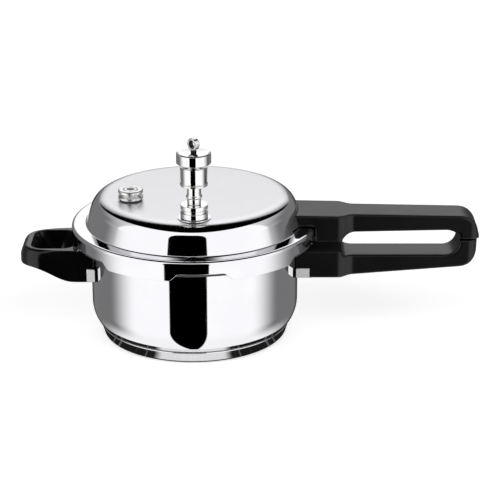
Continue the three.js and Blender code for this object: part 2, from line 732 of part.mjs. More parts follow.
// A stirrup on the pot wall, opening towards +X: two feet on the wall, two arms and a floor plate.
// The floor reaches past the arms where the wall curves away from them. All of it is grown by
// extra and runs a little way into the wall.
function stirrupForm(halfWidth, armLength, low, extra) {
  const wall = POT_RADIUS + CLEARANCE;
  const wallAtArm = Math.sqrt(wall * wall - halfWidth * halfWidth);
  const end = wallAtArm + armLength + extra;
  const floorEnd = POT_RADIUS + BRACKET_FLOOR + extra;
  const sheet = BRACKET_SHEET + extra;
  const under = low - extra;
  const top = low + BRACKET_HEIGHT + extra;
  const inside = halfWidth - sheet;
  const outside = halfWidth + extra;
  const start = wallAtArm - 1.5 * CUT_MARGIN;
  const armAngle = Math.asin(inside / wall);
  const footAngle = armAngle + (BRACKET_FOOT + BRACKET_SHEET) / wall;
  const parts = [block([start, -outside, under], [floorEnd, outside, low + sheet])];
  for (const side of [-1, 1]) {
    const inner = side * inside;
    const outer = side * outside;
    parts.push(block([start, Math.min(inner, outer), under], [end, Math.max(inner, outer), top]));
  }
  parts.push(sector(wall - 1, wall + BRACKET_SHEET, armAngle, footAngle, under, top));
  parts.push(sector(wall - 1, wall + BRACKET_SHEET, -footAngle, -armAngle, under, top));
  return joined(...parts);
}

function stirrup(halfWidth, armLength, low) {
  return cut(stirrupForm(halfWidth, armLength, low, 0), potWallSpace());
}

// Both stirrups take their screws at this distance from the pot axis.
function stirrupScrewX() {
  return POT_RADIUS + SCREW_HEAD_RADIUS + 2 * CLEARANCE;
}

function throughHole(x, y, low) {
  return bar(SCREW_RADIUS + CLEARANCE, x, y, low - CUT_MARGIN, low + CUT_MARGIN);
}

function potHandleBracket() {
  const plate = stirrup(HANDLE_ROOT_HALF_WIDTH, POT_BRACKET_ARM, POT_HANDLE_UNDER);
  return cut(plate, throughHole(stirrupScrewX(), 0, POT_HANDLE_UNDER));
}

function potHandleScrew() {
  return screw(stirrupScrewX(), 0, POT_HANDLE_UNDER - SCREW_HEAD_HEIGHT - CLEARANCE);
}

function helperBracket() {
  const plate = stirrup(HELPER_HALF_WIDTH, HELPER_BRACKET_ARM, HELPER_UNDER);
  const holes = [-1, 1].map((side) => throughHole(stirrupScrewX(), side * HELPER_SCREW_OFFSET, HELPER_UNDER));
  return turnedBy(cut(plate, ...holes), Math.PI);
}

function helperScrew(side) {
  const low = HELPER_UNDER - SCREW_HEAD_HEIGHT - CLEARANCE;
  return turnedBy(screw(stirrupScrewX(), side * HELPER_SCREW_OFFSET, low), Math.PI);
}

// The steel angle on the skirt: an upright plate and a tab that enters the lid handle.
function skirtAngle(extra = 0) {
  const near = FLANGE_RADIUS + CLEARANCE;
  const far = near + BRACKET_SHEET + extra;
  const plateTop = ANGLE_TAB_UNDER + BRACKET_SHEET + extra;
  const plateLow = plateTop - ANGLE_HEIGHT - 2 * extra;
  const plateHalf = ANGLE_HALF_WIDTH + extra;
  const tabHalf = ANGLE_TAB_HALF_WIDTH + extra;
  const tabEnd = near + ANGLE_TAB_LENGTH + extra;
  const plate = block([near - CUT_MARGIN, -plateHalf, plateLow], [far, plateHalf, plateTop]);
  const tab = block([near, -tabHalf, ANGLE_TAB_UNDER - extra], [tabEnd, tabHalf, plateTop]);
  return joined(plate, tab);
}

function lidScrewX() {
  return FLANGE_RADIUS + CLEARANCE + ANGLE_TAB_LENGTH / 2 + BRACKET_SHEET;
}

function lidHandleBracket() {
  return cut(skirtAngle(), lidSpace(), throughHole(lidScrewX(), 0, ANGLE_TAB_UNDER));
}

function lidHandleScrew() {
  return screw(lidScrewX(), 0, LID_HANDLE_UNDER + CLEARANCE);
}

// Long handle

// Plan outline of both halves: a wide root, an S-shaped neck and a slimmer grip.
function handlePlan() {
  const root = HANDLE_ROOT_HALF_WIDTH;
  const grip = HANDLE_GRIP_HALF_WIDTH;
  const start = POT_RADIUS - CUT_MARGIN;
  const neckStart = POT_RADIUS + HANDLE_NECK_START;
  const neckEnd = neckStart + HANDLE_NECK_LENGTH;
  const neckMiddle = (neckStart + neckEnd) / 2;
  const corner = Math.min(HANDLE_PLAN_CORNER, grip);
  const round = HANDLE_END - corner;
  const shape = new THREE.Shape();
  shape.moveTo(start, -root);
  shape.lineTo(neckStart, -root);
  shape.bezierCurveTo(neckMiddle, -root, neckMiddle, -grip, neckEnd, -grip);
  shape.lineTo(round, -grip);
  shape.quadraticCurveTo(HANDLE_END, -grip, HANDLE_END, corner - grip);
  shape.lineTo(HANDLE_END, grip - corner);
  shape.quadraticCurveTo(HANDLE_END, grip, round, grip);
  shape.lineTo(neckEnd, grip);
  shape.bezierCurveTo(neckMiddle, grip, neckMiddle, root, neckStart, root);
  shape.lineTo(start, root);
  shape.closePath();
  return shape;
}

function handleBlock(sideOutline) {
  const width = 2 * HANDLE_ROOT_HALF_WIDTH + 2 * CUT_MARGIN;
  const plan = raised(handlePlan(), POT_HANDLE_UNDER - CUT_MARGIN, PLATE_TOP);
  return spread(sideOutline, width).intersect(plan);
}

function lidHandle() {
  const start = POT_RADIUS - CUT_MARGIN;
  const top = FLANGE_TOP + HANDLE_ABOVE_FLANGE;
  const slotTop = SPLIT_HEIGHT + SLOT_ABOVE_SPLIT;
  const outline = filleted([
    [start, LID_HANDLE_UNDER],
    [SLOT_NEAR, LID_HANDLE_UNDER, ROOT_EDGE],
    [SLOT_NEAR, slotTop, SLOT_CURVE],
    [SLOT_FAR, slotTop + SLOT_RISE, SLOT_FAR_CURVE],
    [SLOT_FAR, LID_HANDLE_UNDER],
    [HANDLE_END, LID_HANDLE_UNDER],
    [HANDLE_END - HANDLE_END_SLANT, top - HANDLE_DROOP, HANDLE_END_CURVE],
    [start, top],
  ]);
  const room = screwRoom(lidScrewX(), 0, LID_HANDLE_UNDER + CLEARANCE);
  return cut(handleBlock(outline), lidSpace(), skirtAngle(CLEARANCE), room);
}

function potWallSpace() {
  const radius = POT_RADIUS + CLEARANCE;
  return turned([[0, 0], [radius, 0], [radius, PLATE_TOP], [0, PLATE_TOP]], SEGMENTS);
}

function potHandle() {
  const start = POT_RADIUS - CUT_MARGIN;
  const slotFloor = SPLIT_HEIGHT - SLOT_BELOW_SPLIT;
  const endUnder = POT_HANDLE_END_TOP - POT_HANDLE_END_DEPTH;
  const end = HANDLE_END - POT_HANDLE_SHORTER;
  const outline = filleted([
    [start, POT_HANDLE_UNDER],
    [SLOT_NEAR, POT_HANDLE_UNDER, ROOT_EDGE * 2],
    [end - CLEARANCE, endUnder, HANDLE_END_CURVE],
    [end, POT_HANDLE_END_TOP],
    [SLOT_FAR, POT_HANDLE_END_TOP],
    [SLOT_FAR, slotFloor, SLOT_FAR_CURVE],
    [SLOT_NEAR, slotFloor, SLOT_CURVE],
    [SLOT_NEAR, POT_HANDLE_ROOT_TOP, ROOT_EDGE],
    [start, POT_HANDLE_ROOT_TOP],
  ]);
  const stirrupRoom = stirrupForm(HANDLE_ROOT_HALF_WIDTH, POT_BRACKET_ARM, POT_HANDLE_UNDER, CLEARANCE);
  const low = POT_HANDLE_UNDER - SCREW_HEAD_HEIGHT - CLEARANCE;
  return cut(handleBlock(outline), potWallSpace(), stirrupRoom, screwRoom(stirrupScrewX(), 0, low));
}

// Helper handle

function helperHoleOutline(near, far) {
  return filleted([
    [near, -HELPER_HOLE_HALF_WIDTH, HELPER_HOLE_CORNER],
    [far, -HELPER_HOLE_HALF_WIDTH, HELPER_HOLE_CORNER],
    [far, HELPER_HOLE_HALF_WIDTH, HELPER_HOLE_CORNER],
    [near, HELPER_HOLE_HALF_WIDTH, HELPER_HOLE_CORNER],
  ]);
}

// The finger hole, which narrows downwards from both ends.
function helperHole(low, high) {
  const near = POT_RADIUS + HELPER_HOLE_START;
  const far = near + HELPER_HOLE_LENGTH;
  const upper = raised(helperHoleOutline(near, far), HELPER_TOP, high);
  const foot = helperHoleOutline(near + HELPER_HOLE_NEAR_DRAFT, far - HELPER_HOLE_FAR_DRAFT);
  const lower = raised(foot, low, HELPER_UNDER);
  return wasm.Manifold.hull([upper, lower]);
}

// A loop with a finger hole whose underside rises away from the pot. It is built towards +X and
// turned round to the far side.
function helperHandle() {
  const start = POT_RADIUS - 3 * CUT_MARGIN;
  const end = POT_RADIUS + HELPER_REACH;
  const slope = POT_RADIUS + HELPER_SLOPE_START;
  const half = HELPER_HALF_WIDTH;
  const plan = filleted([
    [start, -half],
    [end, -half, HELPER_CORNER],
    [end, half, HELPER_CORNER],
    [start, half],
  ]);
  const side = filleted([
    [start, HELPER_UNDER],
    [slope, HELPER_UNDER, HELPER_EDGE],
    [slope + HELPER_SLOPE_LENGTH, HELPER_TOP - HELPER_END_DEPTH, HELPER_EDGE],
    [end, HELPER_TOP - HELPER_END_DEPTH, HELPER_EDGE],
    [end, HELPER_TOP, HELPER_EDGE],
    [start, HELPER_TOP],
  ]);
  const low = HELPER_UNDER - CUT_MARGIN;
  const high = HELPER_TOP + CUT_MARGIN;
  const loop = raised(plan, low, high).intersect(spread(side, 2 * half + CUT_MARGIN));
  const screwLow = HELPER_UNDER - SCREW_HEAD_HEIGHT - CLEARANCE;
  const rooms = [-1, 1].map((sign) => screwRoom(stirrupScrewX(), sign * HELPER_SCREW_OFFSET, screwLow));
  const stirrupRoom = stirrupForm(HELPER_HALF_WIDTH, HELPER_BRACKET_ARM, HELPER_UNDER, CLEARANCE);
  const shaped = cut(loop, helperHole(low, high), potWallSpace(), stirrupRoom, ...rooms);
  return turnedBy(shaped, Math.PI);
}

// Finishes

function polishedSteel() {
  return new THREE.MeshStandardMaterial({ color: 0xd8d8da, roughness: 0.08, metalness: 1 });
}

function blackMoulding() {
  return new THREE.MeshStandardMaterial({ color: 0x161617, roughness: 0.4, metalness: 0 });
}

function castAluminium() {
  return new THREE.MeshStandardMaterial({ color: 0xb4b6b8, roughness: 0.45, metalness: 1 });
}

function greyRubber() {
  return new THREE.MeshStandardMaterial({ color: 0x2e2e30, roughness: 0.8, metalness: 0 });
}

function platedBrass() {
  return new THREE.MeshStandardMaterial({ color: 0xdedcd8, roughness: 0.1, metalness: 1 });
}

function fusibleAlloy() {
  return new THREE.MeshStandardMaterial({ color: 0x8c8d90, roughness: 0.5, metalness: 1 });
}

// Assembly

const cooker = new THREE.Group();

function place(name, solid, material) {
  const mesh = new THREE.Mesh(toGeometry(solid), material);
  mesh.name = name;
  cooker.add(mesh);
}

place('base_cap', baseCap(), polishedSteel());
place('base_core', baseCore(), castAluminium());
place('pot_shell', potShell(), polishedSteel());
place('pot_handle_bracket', potHandleBracket(), polishedSteel());
place('pot_handle_screw', potHandleScrew(), polishedSteel());
place('pot_handle', potHandle(), blackMoulding());
place('helper_bracket', helperBracket(), polishedSteel());
place('helper_screw_left', helperScrew(-1), polishedSteel());
place('helper_screw_right', helperScrew(1), polishedSteel());
place('helper_handle', helperHandle(), blackMoulding());
place('lid_shell', lidShell(), polishedSteel());
place('gasket', gasket(), greyRubber());
place('lid_handle_bracket', lidHandleBracket(), polishedSteel());
place('lid_handle_screw', lidHandleScrew(), polishedSteel());
place('lid_handle', lidHandle(), blackMoulding());
place('vent_washer', ventWasher(), polishedSteel());
place('vent_nut', ventNut(), platedBrass());
place('vent_tube', ventTube(), platedBrass());
place('vent_lock_nut', lockNut(VENT_THREAD).translate(onVent()), platedBrass());
place('safety_washer', safetyWasher(), greyRubber());
place('safety_body', safetyBody(), platedBrass());
place('fusible_plug', fusiblePlug(), fusibleAlloy());
place('safety_lock_nut', lockNut(SAFETY_THREAD).translate(onSafety()), platedBrass());
place('weight_body', weightBody(), platedBrass());
place('weight_cap', weightCap(), platedBrass());
place('weight_needle', weightNeedle(), polishedSteel());
place('weight_clip', weightClip(), polishedSteel());
place('lifting_eye', liftingEye(), polishedSteel());

export default cooker;
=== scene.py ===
"""Looks of a two-litre pressure cooker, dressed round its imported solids.

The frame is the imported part's own: metres, +Z up, the origin in the middle of the base underside, +X along the long
handle. Sizes in the classes are millimetres, and a piece turns them into metres when its mesh is made.
"""

import logging
import math
from dataclasses import dataclass
from enum import Enum
from typing import Union

import bpy
import numpy as np
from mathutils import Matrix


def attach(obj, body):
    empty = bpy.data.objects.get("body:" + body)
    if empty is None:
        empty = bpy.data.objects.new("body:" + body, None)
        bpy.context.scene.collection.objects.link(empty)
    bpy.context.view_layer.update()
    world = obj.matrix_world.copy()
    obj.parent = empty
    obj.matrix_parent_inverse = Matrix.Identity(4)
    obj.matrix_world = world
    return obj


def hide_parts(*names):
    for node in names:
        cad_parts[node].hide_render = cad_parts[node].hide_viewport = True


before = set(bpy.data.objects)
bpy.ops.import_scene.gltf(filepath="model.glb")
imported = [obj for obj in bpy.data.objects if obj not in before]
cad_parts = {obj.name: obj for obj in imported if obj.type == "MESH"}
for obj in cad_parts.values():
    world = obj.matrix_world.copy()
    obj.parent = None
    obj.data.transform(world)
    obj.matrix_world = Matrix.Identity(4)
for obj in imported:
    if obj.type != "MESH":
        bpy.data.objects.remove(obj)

Array = np.ndarray
Colour = tuple[float, float, float]
Pair = tuple[float, float]
Number = Union[float, "Level"]

MILLIMETRE = 0.001
TINY = 1e-9
WELD_MM = 1e-4
STRAIGHT_TURN = 1e-4
SHARP_FILLET_MM = 1e-6
SHARP_ANGLE = math.radians(38)
SUPPORT_MM = 0.25
SUPPORT_SHARE = 0.012
SIDE_SHARE = 0.96
EDGE_POINTS = 6
FLAT_POINTS = 6
WALL_POINTS = 26
EDGE_LIMIT = 0.42
LUGS = 6
LUG_TURN = math.radians(4.7)
PLATE_TOP = 122.9
PLAY = 0.3
THREAD_END = 115.9
THREAD_RADIUS = 5.0
THREAD_HOLE = 5.3
WHITE = (1.0, 1.0, 1.0, 1.0)
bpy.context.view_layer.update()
log = logging.getLogger("cooker")


class Body(Enum):
    """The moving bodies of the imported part."""

    POT = "pot"
    LID = "lid"
    WEIGHT = "weight"


class Slot(Enum):
    """The record's material slots."""

    STEEL = "polished_steel"
    CORE = "core_aluminium"
    MOULDING = "black_moulding"
    RUBBER = "seal_rubber"
    PLATED = "plated_brass"
    ALLOY = "fusible_alloy"


class Side(Enum):
    """The sides of the pot that carry handles."""

    LONG_HANDLE = 1.0
    HELPER = -1.0

    def place(self, grid: Array) -> Array:
        """A grid that was built towards +X, turned to this side."""
        return grid * np.array([self.value, self.value, 1.0])


# Shader maths


class Level:
    """A number that changes over a surface: a node's output with Python arithmetic."""

    def __init__(self, sheet: "NodeSheet", socket: bpy.types.NodeSocket) -> None:
        """Keeps the sheet that new nodes go on and the socket that carries the number."""
        self.sheet = sheet
        self.socket = socket

    def _math(self, operation: str, first: Number, second: Number) -> "Level":
        """Adds one Math node.

        Args:
            operation: the Math node's operation.
            first: its first value.
            second: its second value.
        Returns:
            The node's result.
        """
        return self.sheet.node("ShaderNodeMath", {"operation": operation}, {0: first, 1: second})

    def __add__(self, other: Number) -> "Level":
        """self + other."""
        return self._math("ADD", self, other)

    __radd__ = __add__

    def __sub__(self, other: Number) -> "Level":
        """self - other."""
        return self._math("SUBTRACT", self, other)

    def __rsub__(self, other: Number) -> "Level":
        """other - self."""
        return self._math("SUBTRACT", other, self)

    def __mul__(self, other: Number) -> "Level":
        """self * other."""
        return self._math("MULTIPLY", self, other)

    __rmul__ = __mul__

    def __truediv__(self, other: Number) -> "Level":
        """self / other."""
        return self._math("DIVIDE", self, other)

    def __pow__(self, other: Number) -> "Level":
        """self ** other."""
        return self._math("POWER", self, other)

    def __abs__(self) -> "Level":
        """The number without its sign."""
        return self._math("ABSOLUTE", self, 0.0)

    def larger(self, other: Number) -> "Level":
        """The larger of the two."""
        return self._math("MAXIMUM", self, other)

    def reach(self, other: "Level") -> "Level":
        """Length of the vector with these two parts."""
        return (self * self + other * other) ** 0.5

    def step(self, low: float, high: float) -> "Level":
        """A smooth step that is 0 at low and 1 at high, whichever of them is larger."""
        settings = {"interpolation_type": "SMOOTHSTEP"}
        values = {"Value": self, "From Min": low, "From Max": high}
        return self.sheet.node("ShaderNodeMapRange", settings, values)

    def within(self, low: float, high: float, soft: float) -> "Level":
        """1 between low and high and 0 outside, over a soft edge of that width."""
        return self.step(low - soft, low + soft) * self.step(high + soft, high - soft)


class NodeSheet:
    """A node tree that is filled by one method."""

    def __init__(self, tree: bpy.types.NodeTree) -> None:
        """Empties the tree."""
        self.tree = tree
        tree.nodes.clear()

    def node(
        self, kind: str, settings: dict[str, object], values: dict[object, object], output: object = 0
    ) -> Level:
        """Adds a node of any type.

        Args:
            kind: the node's type.
            settings: its properties, which are set first.
            values: socket name or number to a Level to link or a value to set.
            output: name or number of the output that is handed back.
        Returns:
            That output.
        """
        made = self.tree.nodes.new(kind)
        for key, value in settings.items():
            setattr(made, key, value)
        for key, value in values.items():
            if isinstance(value, Level):
                self.tree.links.new(value.socket, made.inputs[key])
            else:
                made.inputs[key].default_value = value
        return Level(self, made.outputs[output] if len(made.outputs) else made.inputs[0])

    def place(self) -> Level:
        """The point on the piece in the part's frame, in metres."""
        return self.node("ShaderNodeTexCoord", {}, {}, "Object")

    def axes(self, vector: Level) -> tuple[Level, Level, Level]:
        """The three parts of a vector."""
        parts = self.node("ShaderNodeSeparateXYZ", {}, {0: vector})
        outputs = parts.socket.node.outputs
        return Level(self, outputs[0]), Level(self, outputs[1]), Level(self, outputs[2])

    def noise(self, vector: Level, scale: float, detail: float) -> Level:
        """Cloudy noise from 0 to 1 with that many features a metre."""
        settings = {"noise_dimensions": "3D"}
        return self.node("ShaderNodeTexNoise", settings, {"Vector": vector, "Scale": scale, "Detail": detail})

    def lines(self, place: Level, scale: float) -> Level:
        """Noise from 0 to 1 that changes along one number alone, as fine polishing lines do."""
        values = {"W": place, "Scale": scale, "Detail": 2.0}
        return self.node("ShaderNodeTexNoise", {"noise_dimensions": "1D"}, values)

    def heading(self, x: Level, y: Level) -> Level:
        """Angle in plan, counted from -Y towards +X."""
        return self.node("ShaderNodeMath", {"operation": "ARCTAN2"}, {0: x, 1: y * -1.0})

    def tint(self, share: Level, low: Union[Colour, Level], high: Colour) -> Level:
        """A colour between two colours, the first of which may vary itself."""
        first = low if isinstance(low, Level) else (*low, 1.0)
        return self.node("ShaderNodeMix", {"data_type": "RGBA"}, {0: share, 6: first, 7: (*high, 1.0)}, 2)

    def bump(self, height: Level, strength: float, depth_mm: float) -> Level:
        """A normal that is tilted by the slopes of a height."""
        values = {"Height": height, "Strength": strength, "Distance": depth_mm * MILLIMETRE}
        return self.node("ShaderNodeBump", {}, values, "Normal")


# Finishes


@dataclass(frozen=True)
class Finish:
    """A surface finish: constants of its shader and the way its detail varies."""

    name: str
    slot: Slot
    dark: Colour
    light: Colour
    rough_low: float
    rough_high: float
    metallic: float = 1.0

    def material(self) -> bpy.types.Material:
        """The finish as a material, made once.

        Returns:
            A material with this finish's colour, roughness and relief.
        """
        found = bpy.data.materials.get(self.name)
        if found:
            return found
        made = bpy.data.materials.new(self.name)
        made.use_nodes = True
        sheet = NodeSheet(made.node_tree)
        values = {"Metallic": self.metallic, **self.varying(sheet)}
        shader = sheet.node("ShaderNodeBsdfPrincipled", {}, values)
        sheet.node("ShaderNodeOutputMaterial", {}, {"Surface": shader})
        return made

    def varying(self, sheet: NodeSheet) -> dict[str, object]:
        """Colour, roughness and relief over the surface.

        Args:
            sheet: the material's node sheet.
        Returns:
            Values for the shader's sockets.
        """
        raise NotImplementedError

    def roughness(self, share: Level) -> Level:
        """A roughness between the finish's two."""
        return self.rough_low + (self.rough_high - self.rough_low) * share


class PolishedSteel(Finish):
    """Mirror-polished steel: faint cloudy smears and very fine polishing rings about the pot axis."""

    def varying(self, sheet: NodeSheet) -> dict[str, object]:
        """Smears change the roughness, fine rings up the walls give the relief.

        Args:
            sheet: the material's node sheet.
        Returns:
            Values for the shader's sockets.
        """
        place = sheet.place()
        _, _, z = sheet.axes(place)
        smear = sheet.noise(place, 38.0, 3.0)
        rings = sheet.lines(z, 2600.0)
        share = smear.step(0.35, 0.75)
        return {
            "Base Color": sheet.tint(share, self.dark, self.light),
            "Roughness": self.roughness(share),
            "Normal": sheet.bump(rings, 0.02, 0.01),
        }


@dataclass(frozen=True)
class StampedSteel(PolishedSteel):
    """Polished steel whose flat top plate is left satin; its edges are metres."""

    satin_radius: Pair = (0.084, 0.075)
    satin_level: Pair = (0.115, 0.118)
    satin: float = 0.32

    def varying(self, sheet: NodeSheet) -> dict[str, object]:
        """As polished steel, with a satin disc inside the shoulder.

        Args:
            sheet: the material's node sheet.
        Returns:
            Values for the shader's sockets.
        """
        values = super().varying(sheet)
        x, y, z = sheet.axes(sheet.place())
        plate = x.reach(y).step(*self.satin_radius) * z.step(*self.satin_level)
        values["Roughness"] = values["Roughness"] + plate * self.satin
        return values


class PlatedBrass(Finish):
    """Bright plating on turned brass: tool lines that change along the upright axis."""

    def varying(self, sheet: NodeSheet) -> dict[str, object]:
        """Tool lines give the relief and slightly change the roughness.

        Args:
            sheet: the material's node sheet.
        Returns:
            Values for the shader's sockets.
        """
        place = sheet.place()
        _, _, z = sheet.axes(place)
        tool = sheet.lines(z, 3200.0)
        cloud = sheet.noise(place, 160.0, 2.0)
        return {
            "Base Color": sheet.tint(cloud, self.dark, self.light),
            "Roughness": self.roughness(tool * cloud),
            "Normal": sheet.bump(tool, 0.08, 0.01),
        }


@dataclass(frozen=True)
class BracketSteel(PolishedSteel):
    """Satin bracket steel with painted shade where it meets the pot wall; the shade's edge is metres."""

    wall_shade_radius: Pair = (0.0904, 0.0898)
    wall_shade: Colour = (0.012, 0.012, 0.013)

    def varying(self, sheet: NodeSheet) -> dict[str, object]:
        """As polished steel, with painted shade close to the wall's radius.

        Args:
            sheet: the material's node sheet.
        Returns:
            Values for the shader's sockets.
        """
        values = super().varying(sheet)
        x, y, _ = sheet.axes(sheet.place())
        # painted shade: the steel's colour turns dark towards the wall's radius, where the foot meets the pot wall
        share = x.reach(y).step(*self.wall_shade_radius)
        values["Base Color"] = sheet.tint(share, values["Base Color"], self.wall_shade)
        return values


@dataclass(frozen=True)
class EyeSteel(PolishedSteel):
    """Polished steel of the lifting eye, with painted shade in its bore and on its neck below the ring."""

    bore_radius: Pair = (3.6, 3.1)
    neck_height: Pair = (2.4, 1.6)
    hollow_shade: Colour = (0.03, 0.03, 0.032)

    def varying(self, sheet: NodeSheet) -> dict[str, object]:
        """As polished steel, with painted shade near the bore's axis and below the ring.

        Args:
            sheet: the material's node sheet.
        Returns:
            Values for the shader's sockets.
        """
        values = super().varying(sheet)
        vent = Vent()
        x, y, z = sheet.axes(sheet.place())
        aside = (x - vent.axis[0] * MILLIMETRE) * math.cos(vent.eye_turn)
        aside = aside + (y - vent.axis[1] * MILLIMETRE) * math.sin(vent.eye_turn)
        up = z - vent.eye_centre() * MILLIMETRE
        # painted shade: dark colour near the bore's axis and on the neck below the ring
        bore = aside.reach(up).step(*(edge * MILLIMETRE for edge in self.bore_radius))
        neck = z.step(*((vent.cap_top + edge) * MILLIMETRE for edge in self.neck_height))
        values["Base Color"] = sheet.tint(bore.larger(neck), values["Base Color"], self.hollow_shade)
        return values


@dataclass(frozen=True)
class BlackMoulding(Finish):
    """Black phenolic moulding: a satin skin with flow clouds, fine grain and pale rubbed spots.

    The land where the long handle's halves part at the root is rough. Its edges are low, high and softness in metres.
    """

    metallic: float = 0.0
    specular: float = 0.38
    land_height: tuple[float, float, float] = (0.0768, 0.0784, 0.0004)
    land_length: tuple[float, float, float] = (0.085, 0.126, 0.002)
    land_rough: float = 0.6

    def varying(self, sheet: NodeSheet) -> dict[str, object]:
        """Flow clouds change colour and roughness, two grains give the relief.

        Args:
            sheet: the material's node sheet.
        Returns:
            Values for the shader's sockets.
        """
        place = sheet.place()
        flow = sheet.noise(place, 45.0, 4.0)
        grain = sheet.noise(place, 1900.0, 2.0)
        peel = sheet.noise(place, 420.0, 1.0)
        rubbed = sheet.noise(place, 240.0, 4.0).step(0.66, 0.8)
        x, _, z = sheet.axes(place)
        land = z.within(*self.land_height) * x.within(*self.land_length)
        return {
            "Specular IOR Level": self.specular,
            "Base Color": sheet.tint(flow * 0.6 + rubbed * 0.4, self.dark, self.light),
            "Roughness": self.roughness(flow) + grain * 0.04 + land * self.land_rough,
            "Normal": sheet.bump(grain * 0.5 + peel * 0.5, 0.08, 0.05),
        }


@dataclass(frozen=True)
class SealRubber(Finish):
    """Matt moulded rubber with a dusty bloom."""

    metallic: float = 0.0

    def varying(self, sheet: NodeSheet) -> dict[str, object]:
        """Bloom changes the colour, a coarse grain gives the relief.

        Args:
            sheet: the material's node sheet.
        Returns:
            Values for the shader's sockets.
        """
        place = sheet.place()
        bloom = sheet.noise(place, 90.0, 5.0)
        grain = sheet.noise(place, 1400.0, 2.0)
        return {
            "Base Color": sheet.tint(bloom.step(0.3, 0.8), self.dark, self.light),
            "Roughness": self.roughness(bloom),
            "Normal": sheet.bump(grain, 0.25, 0.08),
        }


class RolledMetal(Finish):
    """Dull rolled or cast metal with streaks along X."""

    def varying(self, sheet: NodeSheet) -> dict[str, object]:
        """Streaks change the roughness and give the relief.

        Args:
            sheet: the material's node sheet.
        Returns:
            Values for the shader's sockets.
        """
        place = sheet.place()
        _, y, _ = sheet.axes(place)
        streak = sheet.lines(y, 1500.0)
        cloud = sheet.noise(place, 120.0, 3.0)
        return {
            "Base Color": sheet.tint(cloud, self.dark, self.light),
            "Roughness": self.roughness(streak),
            "Normal": sheet.bump(streak, 0.2, 0.02),
        }


POLISH = ((0.80, 0.80, 0.825), (0.83, 0.83, 0.85))
BLACK = ((0.002, 0.002, 0.0025), (0.006, 0.006, 0.007))
STEEL = PolishedSteel("mirror_polished_steel", Slot.STEEL, *POLISH, 0.025, 0.05)
LID_STEEL = StampedSteel("stamped_lid_steel", Slot.STEEL, *POLISH, 0.025, 0.05)
EYE_STEEL = EyeSteel("eye_steel", Slot.STEEL, *POLISH, 0.04, 0.08)
BRACKET_STEEL = BracketSteel(
    "satin_bracket_steel", Slot.STEEL, (0.95, 0.95, 0.955), (0.98, 0.98, 0.985), 0.46, 0.54
)
PLATED = PlatedBrass("bright_plating", Slot.PLATED, (0.80, 0.80, 0.80), (0.86, 0.855, 0.85), 0.03, 0.07)
SATIN_PLATED = PlatedBrass("satin_plating", Slot.PLATED, (0.86, 0.86, 0.855), (0.92, 0.915, 0.91), 0.24, 0.4)
MOULDING = BlackMoulding("black_phenolic", Slot.MOULDING, *BLACK, 0.25, 0.33)
LOOP_MOULDING = BlackMoulding("gloss_phenolic", Slot.MOULDING, *BLACK, 0.12, 0.18)
RUBBER = SealRubber("seal_rubber", Slot.RUBBER, (0.05, 0.05, 0.055), (0.12, 0.12, 0.125), 0.6, 0.85)
CORE = RolledMetal("rolled_aluminium", Slot.CORE, (0.66, 0.67, 0.68), (0.74, 0.75, 0.76), 0.3, 0.5)
ALLOY = RolledMetal("soft_alloy", Slot.ALLOY, (0.42, 0.42, 0.44), (0.52, 0.52, 0.54), 0.35, 0.6)


# Surfaces


def unit(vectors: Array) -> Array:
    """Vectors of length 1 along the last axis."""
    lengths = np.linalg.norm(vectors, axis=-1, keepdims=True)
    return vectors / np.maximum(lengths, TINY)


def smooth(values: Array, low: float, high: float) -> Array:
    """The step 3t^2 - 2t^3 with t from 0 at low to 1 at high."""
    t = np.clip((values - low) / (high - low), 0.0, 1.0)
    return t * t * (3.0 - 2.0 * t)


